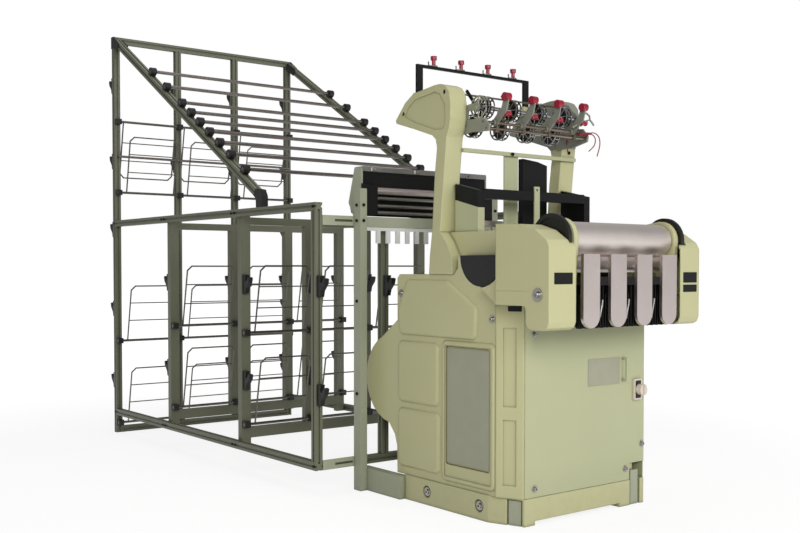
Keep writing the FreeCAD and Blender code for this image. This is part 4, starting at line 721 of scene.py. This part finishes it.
# %% Webs and cones
web = turned([(9, -5), (24, -2.2), (40, -1.8), (41, 0), (40, 1.8), (24, 2.2), (9, 5)], k=32)
WHEEL_SHIFT, CONE_SHIFT = -11, 13.8     # mm along X from the middle of a head
lower_spots = [(x + WHEEL_SHIFT, -1078, 1527) for x in HEADS]
upper_spots = [(x + WHEEL_SHIFT, -1142.3, 1593.5) for x in HEADS]
piece("lower_webs", [placed(web, lower_spots, RIGHT)], shade_web_steel, "feed_wheels")
piece("upper_webs", [placed(web, upper_spots, RIGHT)], shade_web_steel, "idler_wheels")
cone = turned([(10, 0), (15, 1), (16, 4), (14, 8), (10, 20), (9, 24), (12, 30), (12, 35), (8, 37)],
              k=24)
for number, x in enumerate(HEADS, 1):
    piece("yarn_cone_%d" % number, [placed(cone, [(x + CONE_SHIFT, -1224, 1566)], RIGHT)],
          crimson_abs, "feeder_arm_%d" % number)

# %% [markdown]
# ## Lip and wing of the left take-up cover
# The cover's side runs on below its rear step and back to the half-round window.  A filled curve
# with thickness would do as well; here both pieces are an outline in the side plane, in mm, drawn
# out along X: two rings joined by quads, wound so that the faces look outwards.  Small black plates
# close the top corners of the creel, where the sloping rails meet the rear posts.

# %% Cover lip, cover wing and corner plates
def drawn_x(outline, x0, x1):
    """Outline (y, z) in mm, counter-clockwise seen from the right, drawn from x0 to x1."""
    loop = np.array(outline, dtype=float)
    rings = [np.column_stack([np.full(len(loop), x), loop]) for x in (x0, x1)]
    return stack(np.array(rings) * MM)


lip = [(-1428, 829), (-1428, 880.4), (-1586, 880.4), (-1586, 812), (-1582, 812), (-1580, 821),
       (-1575, 827), (-1566, 829)]
wing = [(-1388, 827), (-1300, 888), (-1326, 892), (-1352, 900), (-1374, 912), (-1391, 927),
        (-1402, 950), (-1440, 950), (-1440, 824)]
COVER_INSIDE = -340.0                   # mm, where the two meet the cover's inner side
piece("cover_lip", [drawn_x(lip, -419.3, COVER_INSIDE)], cast_enamel)
piece("cover_wing", [drawn_x(wing, -378.3, COVER_INSIDE)], cast_enamel)
corner_plate = rounded_plate(110, 44, 3.0, 2)
piece("corner_plates", [placed(corner_plate, [(564.5, 1540, 2243)], LEFT, -30.0),
                        placed(corner_plate, [(-564.5, 1540, 2243)], RIGHT, 30.0)],
      black_nylon)

# %% [markdown]
# ## Floor, backdrop and lamps
# The machine stands in a white studio.  Large soft lamps in front and above give the long even
# highlights on the enamel, and the white surroundings fill the shadows.  More light would bleach a
# pale floor, but also the paint; so the floor glows for the camera and for reflections only, and
# still keeps the shadow under the machine.

# %% Stage
stage_material, tree, shader, place = new_finish("pale_floor")
tree.nodes.remove(shader)
WHITE = (1.0, 1.0, 1.0, 1.0)
EITHER = {"operation": "MAXIMUM"}
seen = add_node(tree, "ShaderNodeLightPath").outputs
mirror_or_eye = add_node(tree, "ShaderNodeMath", EITHER, i0=seen["Is Camera Ray"],
                         i1=seen["Is Glossy Ray"]).outputs[0]
away = add_node(tree, "ShaderNodeVectorMath", {"operation": "LENGTH"}, i0=place).outputs["Value"]
far = add_node(tree, "ShaderNodeMapRange", None, Value=away, From_Min=2.0, From_Max=5.5,
               To_Min=0.82, To_Max=1.0).outputs[0]
glow = add_node(tree, "ShaderNodeEmission", None, Color=WHITE, Strength=far).outputs[0]
matt = add_node(tree, "ShaderNodeBsdfDiffuse", None, Color=(0.24, 0.24, 0.24, 1.0)).outputs[0]
plain = add_node(tree, "ShaderNodeBsdfDiffuse", None, Color=paint("#e9e9e7")).outputs[0]
both = add_node(tree, "ShaderNodeAddShader", None, i0=glow, i1=matt).outputs[0]
choose = add_node(tree, "ShaderNodeMixShader", None, i0=mirror_or_eye, i1=plain, i2=both)
output = next(n for n in tree.nodes if n.type == "OUTPUT_MATERIAL")
tree.links.new(choose.outputs[0], output.inputs["Surface"])

floor_mesh = bpy.data.meshes.new("floor")
REACH = 30.0                            # metres from the middle to each edge of the floor
floor_mesh.from_pydata([(-REACH, -REACH, 0), (REACH, -REACH, 0), (REACH, REACH, 0),
                        (-REACH, REACH, 0)], [], [(0, 1, 2, 3)])
floor = bpy.data.objects.new("floor", floor_mesh)
bpy.context.collection.objects.link(floor)
floor_mesh.materials.append(stage_material)

world = bpy.data.worlds.new("white_room")
bpy.context.scene.world = world
world.use_nodes = True
room = world.node_tree
room.nodes.clear()
path = add_node(room, "ShaderNodeLightPath").outputs
direct = add_node(room, "ShaderNodeMath", EITHER, i0=path["Is Camera Ray"],
                  i1=path["Is Transmission Ray"]).outputs[0]
fill = add_node(room, "ShaderNodeBackground", None, Color=WHITE, Strength=0.31).outputs[0]
white = add_node(room, "ShaderNodeBackground", None, Color=WHITE, Strength=1.0).outputs[0]
pick = add_node(room, "ShaderNodeMixShader", None, i0=direct, i1=fill, i2=white)
sky = room.nodes.new("ShaderNodeOutputWorld")
room.links.new(pick.outputs[0], sky.inputs["Surface"])


def soft_lamp(name, place, target, width, height, watts):
    """A rectangular lamp that faces its target."""
    data = bpy.data.lights.new(name, "AREA")
    data.shape = "RECTANGLE"
    data.size = width
    data.size_y = height
    data.energy = watts
    lamp = bpy.data.objects.new(name, data)
    lamp.location = place
    aim = Vector(target) - Vector(place)
    lamp.rotation_euler = aim.to_track_quat("-Z", "Y").to_euler()
    bpy.context.collection.objects.link(lamp)
    return lamp


soft_lamp("key_lamp", (-3.5, -5.4, 2.5), (-0.2, -1.1, 0.9), 2.4, 2.0, 115.0)
soft_lamp("front_lamp", (1.2, -9.6, 3.4), (0.0, -0.6, 0.9), 4.0, 3.2, 250.0)
soft_lamp("top_lamp", (0.0, 0.2, 6.0), (0.0, 0.0, 0.8), 4.0, 5.0, 80.0)
bpy.context.scene.view_settings.view_transform = "Standard"
print("stage ready")
